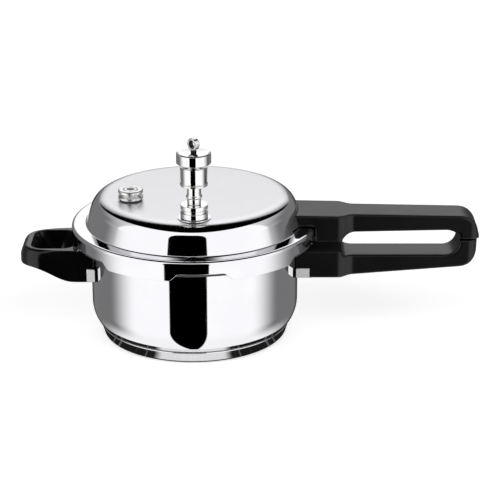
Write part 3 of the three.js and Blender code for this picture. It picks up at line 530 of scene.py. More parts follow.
def rounded(corners: Array, steps: int = 8, closed: bool = False) -> Array:
    """A line through corners with a circular fillet at each.

    A fillet of radius R between sides that meet at an angle a starts R / tan(a / 2) before the corner, and its points
    turn evenly about the centre. Two fillets that are too long for a side share it by their lengths. A support point
    stands just outside each end, so that flat sides shade flat.

    Args:
        corners: (..., n, 3), two coordinates and a fillet radius. Open lines keep their two end points.
        steps: parts of each fillet.
        closed: whether the line closes on itself.
    Returns:
        (..., m, 2) points.
    """
    points = corners[..., :2]
    back = np.roll(points, 1, axis=-2) - points
    ahead = np.roll(points, -1, axis=-2) - points
    length_back = np.linalg.norm(back, axis=-1)
    length_ahead = np.linalg.norm(ahead, axis=-1)
    back, ahead = unit(back), unit(ahead)
    half = 0.5 * np.arccos(np.clip((back * ahead).sum(-1), -1.0, 1.0))
    reach = corners[..., 2] / np.maximum(np.tan(half), TINY)
    if not closed:
        reach[..., [0, -1]] = 0.0
    room_back = length_back / np.maximum(reach + np.roll(reach, 1, axis=-1), TINY)
    room_ahead = length_ahead / np.maximum(reach + np.roll(reach, -1, axis=-1), TINY)
    reach = reach * np.minimum(1.0, SIDE_SHARE * np.minimum(room_back, room_ahead))
    kept = slice(None) if closed else slice(1, -1)
    corner, back, ahead = points[..., kept, :], back[..., kept, :], ahead[..., kept, :]
    length_back, length_ahead = length_back[..., kept], length_ahead[..., kept]
    half, reach = half[..., kept], reach[..., kept]
    radius = reach * np.tan(half)
    centre = corner + unit(back + ahead) * (reach / np.maximum(np.cos(half), TINY))[..., None]
    start = corner + back * reach[..., None]
    end = corner + ahead * reach[..., None]
    turn = (math.pi - 2.0 * half)[..., None]
    share = np.linspace(0.0, 1.0, steps + 1)
    safe = np.maximum(np.sin(turn), TINY)
    bent = turn >= STRAIGHT_TURN
    first = np.where(bent, np.sin((1.0 - share) * turn) / safe, 1.0 - share)
    second = np.where(bent, np.sin(share * turn) / safe, share)
    middle = centre * bent
    bend = middle[..., None, :] + first[..., None] * (start - middle)[..., None, :]
    bend = bend + second[..., None] * (end - middle)[..., None, :]
    sharp = (radius < SHARP_FILLET_MM)[..., None, None]
    bend = np.where(sharp, corner[..., None, :], bend)
    lead_in = start + back * np.minimum(SUPPORT_MM, SUPPORT_SHARE * length_back)[..., None]
    lead_out = end + ahead * np.minimum(SUPPORT_MM, SUPPORT_SHARE * length_ahead)[..., None]
    line = np.concatenate([lead_in[..., None, :], bend, lead_out[..., None, :]], axis=-2)
    line = line.reshape(*line.shape[:-3], -1, 2)
    if closed:
        return line
    return np.concatenate([points[..., :1, :], line, points[..., -1:, :]], axis=-2)


def filled(starts: Array, ends: Array, counts: Array) -> Array:
    """Each side's start and even points along it, start (1 - k / count) + end k / count for k below the count.

    Args:
        starts: (n, 2) starts of the sides.
        ends: (n, 2) ends of the sides.
        counts: points of each side.
    Returns:
        (sum of counts, 2) points.
    """
    index = np.repeat(np.arange(len(counts)), counts)
    offset = np.arange(counts.sum()) - np.repeat(np.cumsum(counts) - counts, counts)
    share = (offset / counts[index])[:, None]
    return starts[index] * (1.0 - share) + ends[index] * share


def dense(line: Array, spacing: float) -> Array:
    """The line with even points put into sides that are longer than the spacing."""
    lengths = np.linalg.norm(np.diff(line, axis=0), axis=1)
    counts = np.maximum(np.ceil(lengths / spacing).astype(int), 1)
    return np.concatenate([filled(line[:-1], line[1:], counts), line[-1:]])


def run(line: Array) -> Array:
    """Length along a line up to each of its points."""
    return np.concatenate([[0.0], np.cumsum(np.linalg.norm(np.diff(line, axis=0), axis=1))])


def even_turn(count: int) -> Array:
    """Angles of one full turn, without the last that meets the first."""
    return np.linspace(0.0, 2.0 * math.pi, count, endpoint=False)


def off_lug(angles: Array, first: float) -> Array:
    """Angle between each direction and the nearest of the even lug places, one of which is at first."""
    pitch = 2.0 * math.pi / LUGS
    return np.abs((angles - first + 0.5 * pitch) % pitch - 0.5 * pitch)


def turned(profile: Array, angles: Array, centre: Pair = (0.0, 0.0)) -> Array:
    """A profile turned about an upright axis: (r cos a + x, r sin a + y, h) for each angle a.

    Args:
        profile: (m, 2) or, where it changes with the angle, (n, m, 2) radius and height.
        angles: n angles.
        centre: the axis.
    Returns:
        (n, m, 3) points.
    """
    radius = np.broadcast_to(profile[..., 0], (len(angles), profile.shape[-2]))
    height = np.broadcast_to(profile[..., 1], radius.shape)
    x = radius * np.cos(angles)[:, None] + centre[0]
    y = radius * np.sin(angles)[:, None] + centre[1]
    return np.stack([x, y, height], axis=-1)


def capped(rows: Array) -> Array:
    """Rings with a row at each end that is drawn together to the ring's middle."""
    first = np.broadcast_to(rows[:1].mean(axis=1, keepdims=True), rows[:1].shape)
    last = np.broadcast_to(rows[-1:].mean(axis=1, keepdims=True), rows[-1:].shape)
    return np.concatenate([first, rows, last])


def joined(runs: list[tuple[Union[float, Array], ...]]) -> list[Array]:
    """The runs of a section, each a tuple of values over its points, joined value by value."""
    columns = zip(*(np.broadcast_arrays(*part) for part in runs))
    return [np.concatenate(column, axis=1) for column in columns]


def plate_ring(thickness: float, height: float, edge: float) -> Array:
    """A rounded rectangle about the origin, as the section of a bent sheet."""
    a, b = 0.5 * thickness, 0.5 * height
    corners = np.array([[-a, -b, edge], [a, -b, edge], [a, b, edge], [-a, b, edge]])
    return rounded(corners, 4, closed=True)


def strip(path: Array, ring: Array, middle: float) -> Array:
    """A sheet's section carried along a path in plan: path + normal * section x, section y upwards.

    Args:
        path: (n, 2) places in plan.
        ring: (m, 2) section, across the sheet and upwards.
        middle: height of the section's origin.
    Returns:
        Capped rings.
    """
    ahead = unit(np.gradient(path, axis=0))
    normal = np.stack([-ahead[:, 1], ahead[:, 0]], axis=-1)
    plan = path[:, None, :] + normal[:, None, :] * ring[None, :, :1]
    height = np.broadcast_to(ring[None, :, 1:] + middle, (*plan.shape[:2], 1))
    return capped(np.concatenate([plan, height], axis=-1))


class Piece:
    """A visible piece: closed grids of points in one mesh."""

    def __init__(self, name: str, finish: Finish, body: Body) -> None:
        """Starts an empty piece.

        Args:
            name: the piece's name.
            finish: what it is made of.
            body: what it moves with.
        """
        self.name = name
        self.finish = finish
        self.body = body
        self.points: list[Array] = []
        self.quads: list[Array] = []
        self.triangles: list[Array] = []
        self.count = 0

    def add(self, grid: Array, wrap_rows: bool, wrap_columns: bool) -> "Piece":
        """Adds a closed grid, welds its poles and turns its faces outwards.

        Args:
            grid: (rows, columns, 3) points in millimetres.
            wrap_rows: whether the last row joins the first.
            wrap_columns: whether the last column joins the first.
        Returns:
            The piece itself.
        """
        rows, columns = grid.shape[:2]
        numbers = np.arange(rows * columns).reshape(rows, columns)
        numbers = np.concatenate([numbers, numbers[:1]]) if wrap_rows else numbers
        numbers = np.concatenate([numbers, numbers[:, :1]], axis=1) if wrap_columns else numbers
        quads = np.stack([numbers[:-1, :-1], numbers[1:, :-1], numbers[1:, 1:], numbers[:-1, 1:]], axis=-1)
        flat = grid.reshape(-1, 3)
        keys = np.round(flat / WELD_MM).astype(np.int64)
        _, first, inverse = np.unique(keys, axis=0, return_index=True, return_inverse=True)
        points = flat[first]
        quads = inverse.reshape(-1)[quads.reshape(-1, 4)]
        same = quads == np.roll(quads, -1, axis=1)
        whole = quads[same.sum(axis=1) == 0]
        folded = same.sum(axis=1) == 1
        keep = np.ones((folded.sum(), 4), bool)
        keep[np.arange(folded.sum()), same[folded].argmax(axis=1)] = False
        corners = quads[folded][keep].reshape(-1, 3)
        fan = np.concatenate([whole[:, [0, 1, 2]], whole[:, [0, 2, 3]], corners])
        a, b, c = points[fan[:, 0]], points[fan[:, 1]], points[fan[:, 2]]
        if (a * np.cross(b, c)).sum() < 0.0:
            whole, corners = whole[:, ::-1], corners[:, ::-1]
        self.points.append(points)
        self.quads.append(whole + self.count)
        self.triangles.append(corners + self.count)
        self.count += len(points)
        return self

    def build(self, *nodes: str) -> None:
        """Makes the object, dresses it and puts it in the place of the named nodes.

        Args:
            nodes: the nodes that it stands for.
        """
        mesh = bpy.data.meshes.new(self.name)
        points = np.concatenate(self.points) * MILLIMETRE
        faces = np.concatenate(self.quads).tolist() + np.concatenate(self.triangles).tolist()
        mesh.from_pydata(points.tolist(), [], faces)
        mesh.polygons.foreach_set("use_smooth", np.ones(len(mesh.polygons), bool))
        mesh.set_sharp_from_angle(angle=SHARP_ANGLE)
        mesh.materials.append(self.finish.material())
        mesh.update()
        made = bpy.data.objects.new(self.name, mesh)
        bpy.context.scene.collection.objects.link(made)
        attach(made, self.body.value)
        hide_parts(*nodes)
        log.info("%s: %d faces, for %s", self.name, len(mesh.polygons), ", ".join(nodes))


# Pot


@dataclass
class Pot:
    """The pot and its sandwich base."""

    radius: float = 88.5
    sheet: float = 1.2
    corner: float = 30.0
    knee_height: float = 19.4
    heel: float = 2.6
    heel_radius: float = 81.3
    floor_under: float = 10.1
    rim_height: float = 85.3
    rim_sheet: float = 1.6
    rim_radius: float = 94.5
    rim_lug_radius: float = 101.5
    rim_lug_half: float = math.radians(12.0)
    rim_lug_ramp: float = 0.012
    base_radius: float = 81.5
    base_foot: float = 78.7
    base_height: float = 9.8
    base_sheet: float = 0.8
    base_edge: float = 2.5
    base_rings: tuple[float, ...] = (22.0, 42.0, 62.0)
    ring_half: float = 1.4
    ring_depth: float = 0.35
    around: int = 240

    def rim(self, angles: Array) -> Array:
        """Rim radius: lugs at even steps with short ramps between.

        Args:
            angles: directions from the pot axis.
        Returns:
            The radius in each direction.
        """
        ramp = (self.rim_lug_half - self.rim_lug_ramp, self.rim_lug_half + self.rim_lug_ramp)
        lug = 1.0 - smooth(off_lug(angles, LUG_TURN), *ramp)
        return self.rim_radius + (self.rim_lug_radius - self.rim_radius) * lug

    def shell(self) -> None:
        """The drawn pot: floor, tight heel, wide corner, wall and a flat rim whose width follows the lugs."""
        angles = even_turn(self.around)
        rim = self.rim(angles)
        under = self.rim_height - self.rim_sheet
        inside = self.radius - self.sheet
        floor = self.floor_under + self.sheet
        fixed = [
            [0.0, self.floor_under, 0.0],
            [self.heel_radius, self.floor_under, self.heel],
            [self.radius, self.knee_height, self.corner],
            [self.radius, under, 1.0],
            [0.0, under, 0.5],
            [0.0, self.rim_height, 0.5],
            [inside, self.rim_height, 0.9],
            [inside, self.knee_height, self.corner - self.sheet],
            [self.heel_radius - self.sheet, floor, self.heel],
            [0.0, floor, 0.0],
        ]
        corners = np.broadcast_to(np.array(fixed), (len(angles), len(fixed), 3)).copy()
        corners[:, 4:6, 0] = rim[:, None]
        grid = turned(rounded(corners, 10), angles)
        Piece("pot_body", STEEL, Body.POT).add(grid, True, False).build("pot_shell")

    def base(self) -> None:
        """The base pan: flat underside with three shallow pressed rings and a side that widens upwards."""
        inner = self.base_radius - self.base_sheet
        bead = ((-self.ring_half, 0.0), (0.0, self.ring_depth), (self.ring_half, 0.0))
        rings = [[middle + across, height, 0.5] for middle in self.base_rings for across, height in bead]
        profile = np.array([
            [0.0, 0.0, 0.0],
            *rings,
            [self.base_foot, 0.0, self.base_edge],
            [self.base_radius, self.base_height, 0.8],
            [inner, self.base_height, 0.1],
            [self.base_foot - self.base_sheet, self.base_sheet, self.base_edge - self.base_sheet],
            [0.0, self.base_sheet, 0.0],
        ])
        grid = turned(rounded(profile, 10), even_turn(self.around))
        Piece("base_pan", STEEL, Body.POT).add(grid, True, False).build("base_cap")

    def build(self) -> None:
        """Makes the pot's pieces."""
        self.base()
        self.shell()


# Lid


@dataclass
class Lid:
    """The stamped lid and its gasket."""

    sheet: float = 1.2
    flange_radius: float = 104.2
    flange_top: float = 98.9
    flange_edge: float = 3.0
    crease_fillet: float = 1.2
    shoulder: float = 15.2
    plate_radius: float = 73.0
    crown: float = 0.35
    lean: float = math.radians(18.9)
    lug_under: float = 82.0
    ledge_radius: float = 96.2
    ledge_ramp: Pair = (0.55, 0.95)
    gap_ledge: float = 0.6
    gap_edge: float = 88.0
    gap_width: float = 36.0
    gap_ramp: float = 9.0
    gasket_radius: float = 102.7
    gasket_inside: float = 89.5
    gasket_low: float = 85.6
    gasket_high: float = 97.4
    gasket_notch: float = 4.5
    around: int = 540

    def lug_share(self, angles: Array) -> Array:
        """1 along the lugs and 0 along the gaps, with a curved ramp between; the first gap is near -Y.

        Args:
            angles: directions from the pot axis.
        Returns:
            The share in each direction.
        """
        away = off_lug(angles, LUG_TURN - 0.5 * math.pi) * self.flange_radius
        half = 0.5 * self.gap_width
        return smooth(away, half, half + self.gap_ramp)

    def wall(self, grow: float) -> tuple[list[float], list[float]]:
        """Where the leaning wall, offset by grow, meets the plate and the flange.

        Args:
            grow: offset outwards.
        Returns:
            The two corners with their fillets.
        """
        bend = self.shoulder + grow
        start = self.plate_radius + bend * math.cos(self.lean)
        height = PLATE_TOP - self.shoulder + bend * math.sin(self.lean)
        slope = math.tan(self.lean)
        plate = PLATE_TOP + grow
        flange = self.flange_top + grow
        return [start - (plate - height) * slope, plate, bend], [start + (height - flange) * slope, flange, 0.0]

    def shell(self) -> None:
        """The lid: crowned plate, round shoulder, leaning wall, flange, skirt with six gaps, in-turned lugs."""
        angles = even_turn(self.around)
        share = self.lug_share(angles)
        low = self.gap_edge + (self.lug_under - self.gap_edge) * share
        inside = self.flange_radius - self.sheet
        gap_ledge = inside - self.gap_ledge
        ledge = gap_ledge + (self.ledge_radius - gap_ledge) * smooth(share, *self.ledge_ramp)
        plate, crease = self.wall(0.0)
        plate_in, crease_in = self.wall(-self.sheet)
        fixed = np.array([
            [0.0, PLATE_TOP + self.crown, 0.0],
            plate,
            [*crease[:2], self.crease_fillet],
            [self.flange_radius, self.flange_top, self.flange_edge],
            [self.flange_radius, 0.0, 0.55],
            [0.0, 0.0, 0.5],
            [0.0, self.sheet, 0.5],
            [inside, self.sheet, 0.3],
            [inside, self.flange_top - self.sheet, self.flange_edge - self.sheet],
            [*crease_in[:2], self.crease_fillet + self.sheet],
            plate_in,
            [0.0, PLATE_TOP + self.crown - self.sheet, 0.0],
        ])
        corners = np.broadcast_to(fixed, (len(angles), *fixed.shape)).copy()
        corners[:, 5:7, 0] = ledge[:, None]
        corners[:, 4:8, 1] += low[:, None]
        grid = turned(rounded(corners, 12), angles)
        Piece("lid_dome", LID_STEEL, Body.LID).add(grid, True, False).build("lid_shell")

    def gasket(self) -> None:
        """The gasket: a ring whose inner side opens in a lip."""
        middle = 0.5 * (self.gasket_low + self.gasket_high)
        profile = np.array([
            [self.gasket_inside, self.gasket_low, 0.5],
            [self.gasket_radius, self.gasket_low, 0.6],
            [self.gasket_radius, self.gasket_high, 2.0],
            [self.gasket_inside, self.gasket_high, 0.5],
            [self.gasket_inside + self.gasket_notch, middle, 1.0],
        ])
        grid = turned(rounded(profile, 5, closed=True), even_turn(180))
        Piece("lid_gasket", RUBBER, Body.LID).add(grid, True, True).build("gasket")

    def build(self) -> None:
        """Makes the lid's pieces."""
        self.shell()
        self.gasket()


# Valves


@dataclass
class Turnery:
    """Turned valve pieces on one upright axis."""

    axis: Pair
    around: int = 96

    def piece(self, name: str, node: str, finish: Finish, body: Body, profile: list[list[float]]) -> None:
        """A ring or a solid of revolution with rounded edges.

        Args:
            name: the piece's name.
            node: the node that it stands for.
            finish: what it is made of.
            body: what it moves with.
            profile: radius, height and fillet; it ends on the axis or closes on itself.
        """
        corners = np.array(profile)
        ring = corners[0, 0] > TINY
        grid = turned(rounded(corners, 5, closed=ring), even_turn(self.around), self.axis)
        Piece(name, finish, body).add(grid, True, ring).build(node)


def on_lid(radius: float, degrees: float) -> Pair:
    """A place on the lid from its distance and direction."""
    return radius * math.cos(math.radians(degrees)), radius * math.sin(math.radians(degrees))


@dataclass
class Vent:
    """Vent tube, nut and washer, and the weight that stands on them."""

    axis: Pair = on_lid(64.5, -88.0)
    washer: float = 13.6
    washer_sheet: float = 0.5
    nut: float = 11.4
    nut_waist: float = 10.5
    nut_under: float = 124.0
    nut_top: float = 135.0
    duct: float = 1.6
    stem: float = 5.9
    stem_foot: float = 5.6
    stem_under: float = 135.3
    stem_top: float = 150.8
    bead: float = 6.7
    bead_middle: float = 141.7
    spigot: float = 4.4
    vent_top: float = 161.8
    bore: float = 7.2
    bore_depth: float = 13.0
    sleeve: float = 11.1
    lip: float = 11.4
    weight_under: float = 151.1
    weight_top: float = 166.7
    shaft: float = 2.3
    knob: float = 14.2
    cap_under: float = 167.0
    cap_top: float = 179.0
    needle: float = 1.2
    needle_collar: float = 3.2
    needle_shank: float = 2.0
    wire: Pair = (1.1, 1.2)
    wire_radius: float = 6.6
    wire_height: float = 155.4
    wire_gap: float = math.radians(25.0)
    eye_radius: float = 5.2
    eye_hole: float = 2.9
    eye_width: float = 5.0
    eye_edge: float = 0.9
    eye_turn: float = math.radians(-46.0)
    eye_rise: float = 6.6

    def seat(self, lathe: Turnery) -> None:
        """Washer, stepped nut and the tube with its bead.

        Args:
            lathe: turns the pieces on the vent's axis.
        """
        low, high = PLATE_TOP + PLAY, PLATE_TOP + PLAY + self.washer_sheet
        lathe.piece("vent_seat_washer", "vent_washer", STEEL, Body.LID, [
            [THREAD_HOLE, low, 0.1], [self.washer, low, 0.1], [self.washer, high, 0.2], [THREAD_HOLE, high, 0.1],
        ])
        under, top = self.nut_under, self.nut_top
        lathe.piece("vent_seat_nut", "vent_nut", PLATED, Body.LID, [
            [THREAD_HOLE, under, 0.2], [self.nut, under, 0.4], [self.nut, under + 4.3, 0.5],
            [self.nut_waist, under + 4.9, 0.4], [self.nut_waist, under + 7.0, 0.4], [self.nut, under + 7.6, 0.4],
            [self.nut, top, 0.5], [THREAD_HOLE, top, 0.2],
        ])
        foot, bead, top = self.stem_under, self.bead_middle, self.vent_top
        lathe.piece("vent_stem", "vent_tube", PLATED, Body.LID, [
            [self.duct, THREAD_END, 0.1], [THREAD_RADIUS, THREAD_END, 0.4], [THREAD_RADIUS, foot, 0.1],
            [self.stem_foot, foot, 0.2], [self.stem, bead - 1.4, 0.8], [self.bead, bead - 0.5, 0.5],
            [self.bead, bead + 0.5, 0.5], [self.stem, bead + 1.4, 0.8], [self.stem, self.stem_top, 0.3],
            [self.spigot, self.stem_top, 0.2], [self.spigot, top, 0.6], [self.duct, top, 0.2],
        ])

    def weight(self, lathe: Turnery) -> None:
        """The sleeve with its foot lip, the wide cap and the needle.

        Args:
            lathe: turns the pieces on the vent's axis.
        """
        under, top = self.weight_under, self.weight_top
        lathe.piece("weight_sleeve", "weight_body", PLATED, Body.WEIGHT, [
            [self.bore, under, 0.3], [self.lip, under, 0.5], [self.lip, under + 1.5, 0.5],
            [self.sleeve - 0.3, under + 2.1, 0.4], [self.sleeve, under + 2.8, 0.4], [self.sleeve, top, 0.2],
            [self.shaft, top, 0.2], [self.shaft, under + self.bore_depth, 0.2],
            [self.bore, under + self.bore_depth, 0.4],
        ])
        low, high = self.cap_under, self.cap_top
        lathe.piece("weight_knob", "weight_cap", PLATED, Body.WEIGHT, [
            [0.0, low + 4.3, 0.0], [self.shaft, low + 4.3, 0.1], [self.shaft, low, 0.1], [self.sleeve, low, 0.2],
            [self.knob, low + 3.2, 0.8], [self.knob, high - 0.9, 0.5], [self.knob - 1.0, high, 0.5],
            [self.knob - 2.0, high - 0.35, 0.4], [self.shaft, high - 0.2, 0.1], [self.shaft, high - 3.8, 0.1],
            [0.0, high - 3.8, 0.0],
        ])
        seat, collar, shank = self.vent_top + PLAY, self.needle_collar, self.needle_shank
        lathe.piece("weight_pin", "weight_needle", STEEL, Body.WEIGHT, [
            [0.0, self.vent_top - 4.0, 0.0], [self.needle, self.vent_top - 2.0, 0.4], [self.needle, seat, 0.1],
            [collar, seat, 0.3], [collar, seat + 1.2, 0.3], [shank, seat + 1.2, 0.1], [shank, low + 4.0, 0.2],
            [0.0, low + 4.0, 0.0],
        ])

    def spring_ring(self) -> None:
        """An open ring of square wire that lies in the groove of the sleeve."""
        angles = np.linspace(self.wire_gap, 2.0 * math.pi - self.wire_gap, 90)
        path = self.wire_radius * np.stack([np.cos(angles), np.sin(angles)], axis=-1) + np.array(self.axis)
        rings = strip(path, plate_ring(*self.wire, 0.3), self.wire_height)
        Piece("weight_spring_ring", STEEL, Body.WEIGHT).add(rings, False, True).build("weight_clip")

    def eye_centre(self) -> float:
        """Height of the eye's middle."""
        return self.cap_top + self.eye_rise

    def eye(self) -> None:
        """A band ring standing on a short neck: a rounded section carried round a circle."""
        angles = even_turn(72)
        section = plate_ring(self.eye_radius - self.eye_hole, self.eye_width, self.eye_edge)
        middle = 0.5 * (self.eye_radius + self.eye_hole)
        reach = middle + section[None, :, 0]
        along = np.broadcast_to(section[None, :, 1], (len(angles), len(section)))
        x = reach * np.cos(angles)[:, None]
        z = reach * np.sin(angles)[:, None] + self.eye_centre()
        cos, sin = math.cos(self.eye_turn), math.sin(self.eye_turn)
        ring = np.stack([x * cos - along * sin + self.axis[0], x * sin + along * cos + self.axis[1], z], axis=-1)
        low, top = self.cap_top - 3.5, self.cap_top
        neck = rounded(np.array([
            [0.0, low, 0.0], [2.0, low, 0.2], [2.0, top + 0.2, 0.1], [2.7, top + 0.4, 0.3], [1.7, top + 2.2, 0.4],
            [0.0, top + 2.6, 0.0],
        ]), 5)
        made = Piece("weight_eye", EYE_STEEL, Body.WEIGHT).add(ring, True, True)
        made.add(turned(neck, even_turn(36), self.axis), True, False).build("lifting_eye")

    def build(self) -> None:
        """Makes the vent's and the weight's pieces."""
        lathe = Turnery(self.axis)
        self.seat(lathe)
        self.weight(lathe)
        self.spring_ring()
        self.eye()


@dataclass
class SafetyValve:
    """The spool-shaped safety valve with its melting plug."""

    axis: Pair = on_lid(55.5, 199.0)
    seal: float = 9.4
    seal_sheet: float = 0.8
    disc: float = 10.5
    waist: float = 7.6
    groove_out: float = 6.6
    groove_in: float = 5.1
    groove_draft: float = 0.3
    groove_depth: float = 1.3
    bore: float = 3.0
    plug: float = 2.7
    under: float = 124.3
    height: float = 7.9

    def build(self) -> None:
        """Makes washer, spool and plug."""
        lathe = Turnery(self.axis)
        low, high = PLATE_TOP + PLAY, PLATE_TOP + PLAY + self.seal_sheet
        lathe.piece("safety_seal", "safety_washer", RUBBER, Body.LID, [
            [THREAD_HOLE, low, 0.1], [self.seal, low, 0.3], [self.seal, high, 0.3], [THREAD_HOLE, high, 0.1],
        ])
        under, top = self.under, self.under + self.height
        groove = top - self.groove_depth
        lathe.piece("safety_spool", "safety_body", SATIN_PLATED, Body.LID, [
            [self.bore, THREAD_END, 0.1], [THREAD_RADIUS, THREAD_END, 0.4], [THREAD_RADIUS, under, 0.1],
            [self.disc, under, 0.4], [self.disc, under + 1.9, 0.4], [self.waist, under + 3.9, 0.5],
            [self.waist, under + 4.2, 0.4], [self.disc, under + 5.2, 0.5], [self.disc, top - 0.9, 0.7],
            [self.disc - 1.0, top, 0.7], [self.groove_out, top, 0.2],
            [self.groove_out - self.groove_draft, groove, 0.2], [self.groove_in + self.groove_draft, groove, 0.2],
            [self.groove_in, top, 0.2], [self.bore + 0.5, top, 0.2], [self.bore, top - 0.4, 0.2],
        ])
        lathe.piece("safety_plug", "fusible_plug", ALLOY, Body.LID, [
            [0.0, top - 7.8, 0.0], [self.plug, top - 7.8, 0.3], [self.plug, top - 3.2, 0.4], [0.0, top - 3.0, 0.0],
        ])


# Handles


def spread_bar(lead: Array, other: Array, lead_on_top: bool, half_width: "HandleWidth", edge: float) -> Array:
    """A bar between an upper and a lower line in the XZ plane, spread across Y with rounded edges.

    Each point of the lead line has a partner on the other line. The ring through the two runs flat across the top,
    round an edge of the given radius that follows the line's normal, straight down the side, round the lower edge and
    back below. Its half width at a point is half_width(x), taken in by the edge's rounding.

    Args:
        lead: (n, 2) points x, z.
        other: (n, 2) partners.
        lead_on_top: whether the lead line is the upper one.
        half_width: half of the width at x.
        edge: edge radius.
    Returns:
        Capped rings.
    """
    top, low = (lead, other) if lead_on_top else (other, lead)
    ahead_top = unit(np.gradient(top, axis=0))
    ahead_low = unit(np.gradient(low, axis=0))
    inward_top = np.stack([ahead_top[:, 1], -ahead_top[:, 0]], axis=-1)
    inward_low = np.stack([-ahead_low[:, 1], ahead_low[:, 0]], axis=-1)
    gap = np.linalg.norm(top - low, axis=1)
    radius = np.minimum(edge, EDGE_LIMIT * gap)[:, None]
    bend = np.linspace(0.0, 0.5 * math.pi, EDGE_POINTS)
    across = np.linspace(0.0, 1.0, FLAT_POINTS)[:-1]
    down = np.linspace(0.0, 1.0, WALL_POINTS)[1:-1]
    inset = radius * (1.0 - np.cos(bend))[None, :]
    top_edge = top[:, None, :] + inward_top[:, None, :] * inset[..., None]
    low_edge = low[:, None, :] + inward_low[:, None, :] * inset[..., None]
    side = top_edge[:, -1:] * (1.0 - down)[None, :, None] + low_edge[:, -1:] * down[None, :, None]
    flat = np.ones((len(top), len(across), 1))
    plane = np.concatenate([top[:, None] * flat, top_edge, side, low_edge[:, ::-1], low[:, None] * flat], axis=1)
    taken = radius * (1.0 - np.sin(bend))
    runs = [(across, radius), (1.0, taken), (1.0, 0.0 * radius * down), (1.0, taken[:, ::-1]), (across[::-1], radius)]
    share, less = joined(runs)
    y = (half_width(plane[..., 0]) - less) * share
    near = np.stack([plane[..., 0], -y, plane[..., 1]], axis=-1)
    far = np.stack([plane[..., 0], y, plane[..., 1]], axis=-1)
    return capped(np.concatenate([near, far[:, -2:0:-1]], axis=1))


@dataclass
class HandleWidth:
    """Half width of the long handle: a wide root, an S-shaped neck, a slim grip and a rounded end."""

    root: float = 22.0
    grip: float = 15.5
    neck_start: float = 121.0
    neck_end: float = 136.5
    end: float = 243.0
    corner: float = 8.0

    def __call__(self, x: Array) -> Array:
        """Root to grip by the step 6t^5 - 15t^4 + 10t^3 over the neck, less the corner's circle at the end.

        Args:
            x: places along the handle.
        Returns:
            Half of the width at each.
        """
        t = np.clip((x - self.neck_start) / (self.neck_end - self.neck_start), 0.0, 1.0)
        width = self.root + (self.grip - self.root) * t**3 * (6.0 * t * t - 15.0 * t + 10.0)
        past = np.clip((x - self.end + self.corner) / self.corner, 0.0, 1.0)
        return width - self.corner * (1.0 - np.sqrt(1.0 - past * past))


def partner(line: Array, lead: Array, marks: list[Pair], places: tuple[float, ...]) -> Array:
    """Partners of the lead's points on another line.

    The first and the last mark pair with the other line's ends, and the marks between with lengths along it, counted
    from the x of its start. Points between two marks take even shares.

    Args:
        line: the other line.
        lead: the lead line.
        marks: places on the lead line.
        places: start x plus length along the other line, for the marks between.
    Returns:
        (n, 2) partners.
    """
    along, lengths = run(lead), run(line)
    nearest = np.linalg.norm(lead[None] - np.array(marks)[:, None], axis=-1).argmin(axis=1)
    knots = [0.0, *(place - line[0, 0] for place in places), lengths[-1]]
    wanted = np.interp(along, along[nearest], knots)
    return np.stack([np.interp(wanted, lengths, line[:, 0]), np.interp(wanted, lengths, line[:, 1])], axis=-1)


def round_the_axis(grid: Array, near: float, far: float) -> Array:
    """Points nearer than near have x taken as their distance from the pot axis, fading out until far.

    Args:
        grid: points built along +X.
        near: x up to which a point is bowed in full.
        far: x from which it stays.
    Returns:
        The bowed points.
    """
    x, y = grid[..., 0], grid[..., 1]
    bowed = np.sqrt(np.maximum(x * x - y * y, 1.0))
    share = 1.0 - smooth(x, near, far)
    return np.stack([x + (bowed - x) * share, y, grid[..., 2]], axis=-1)


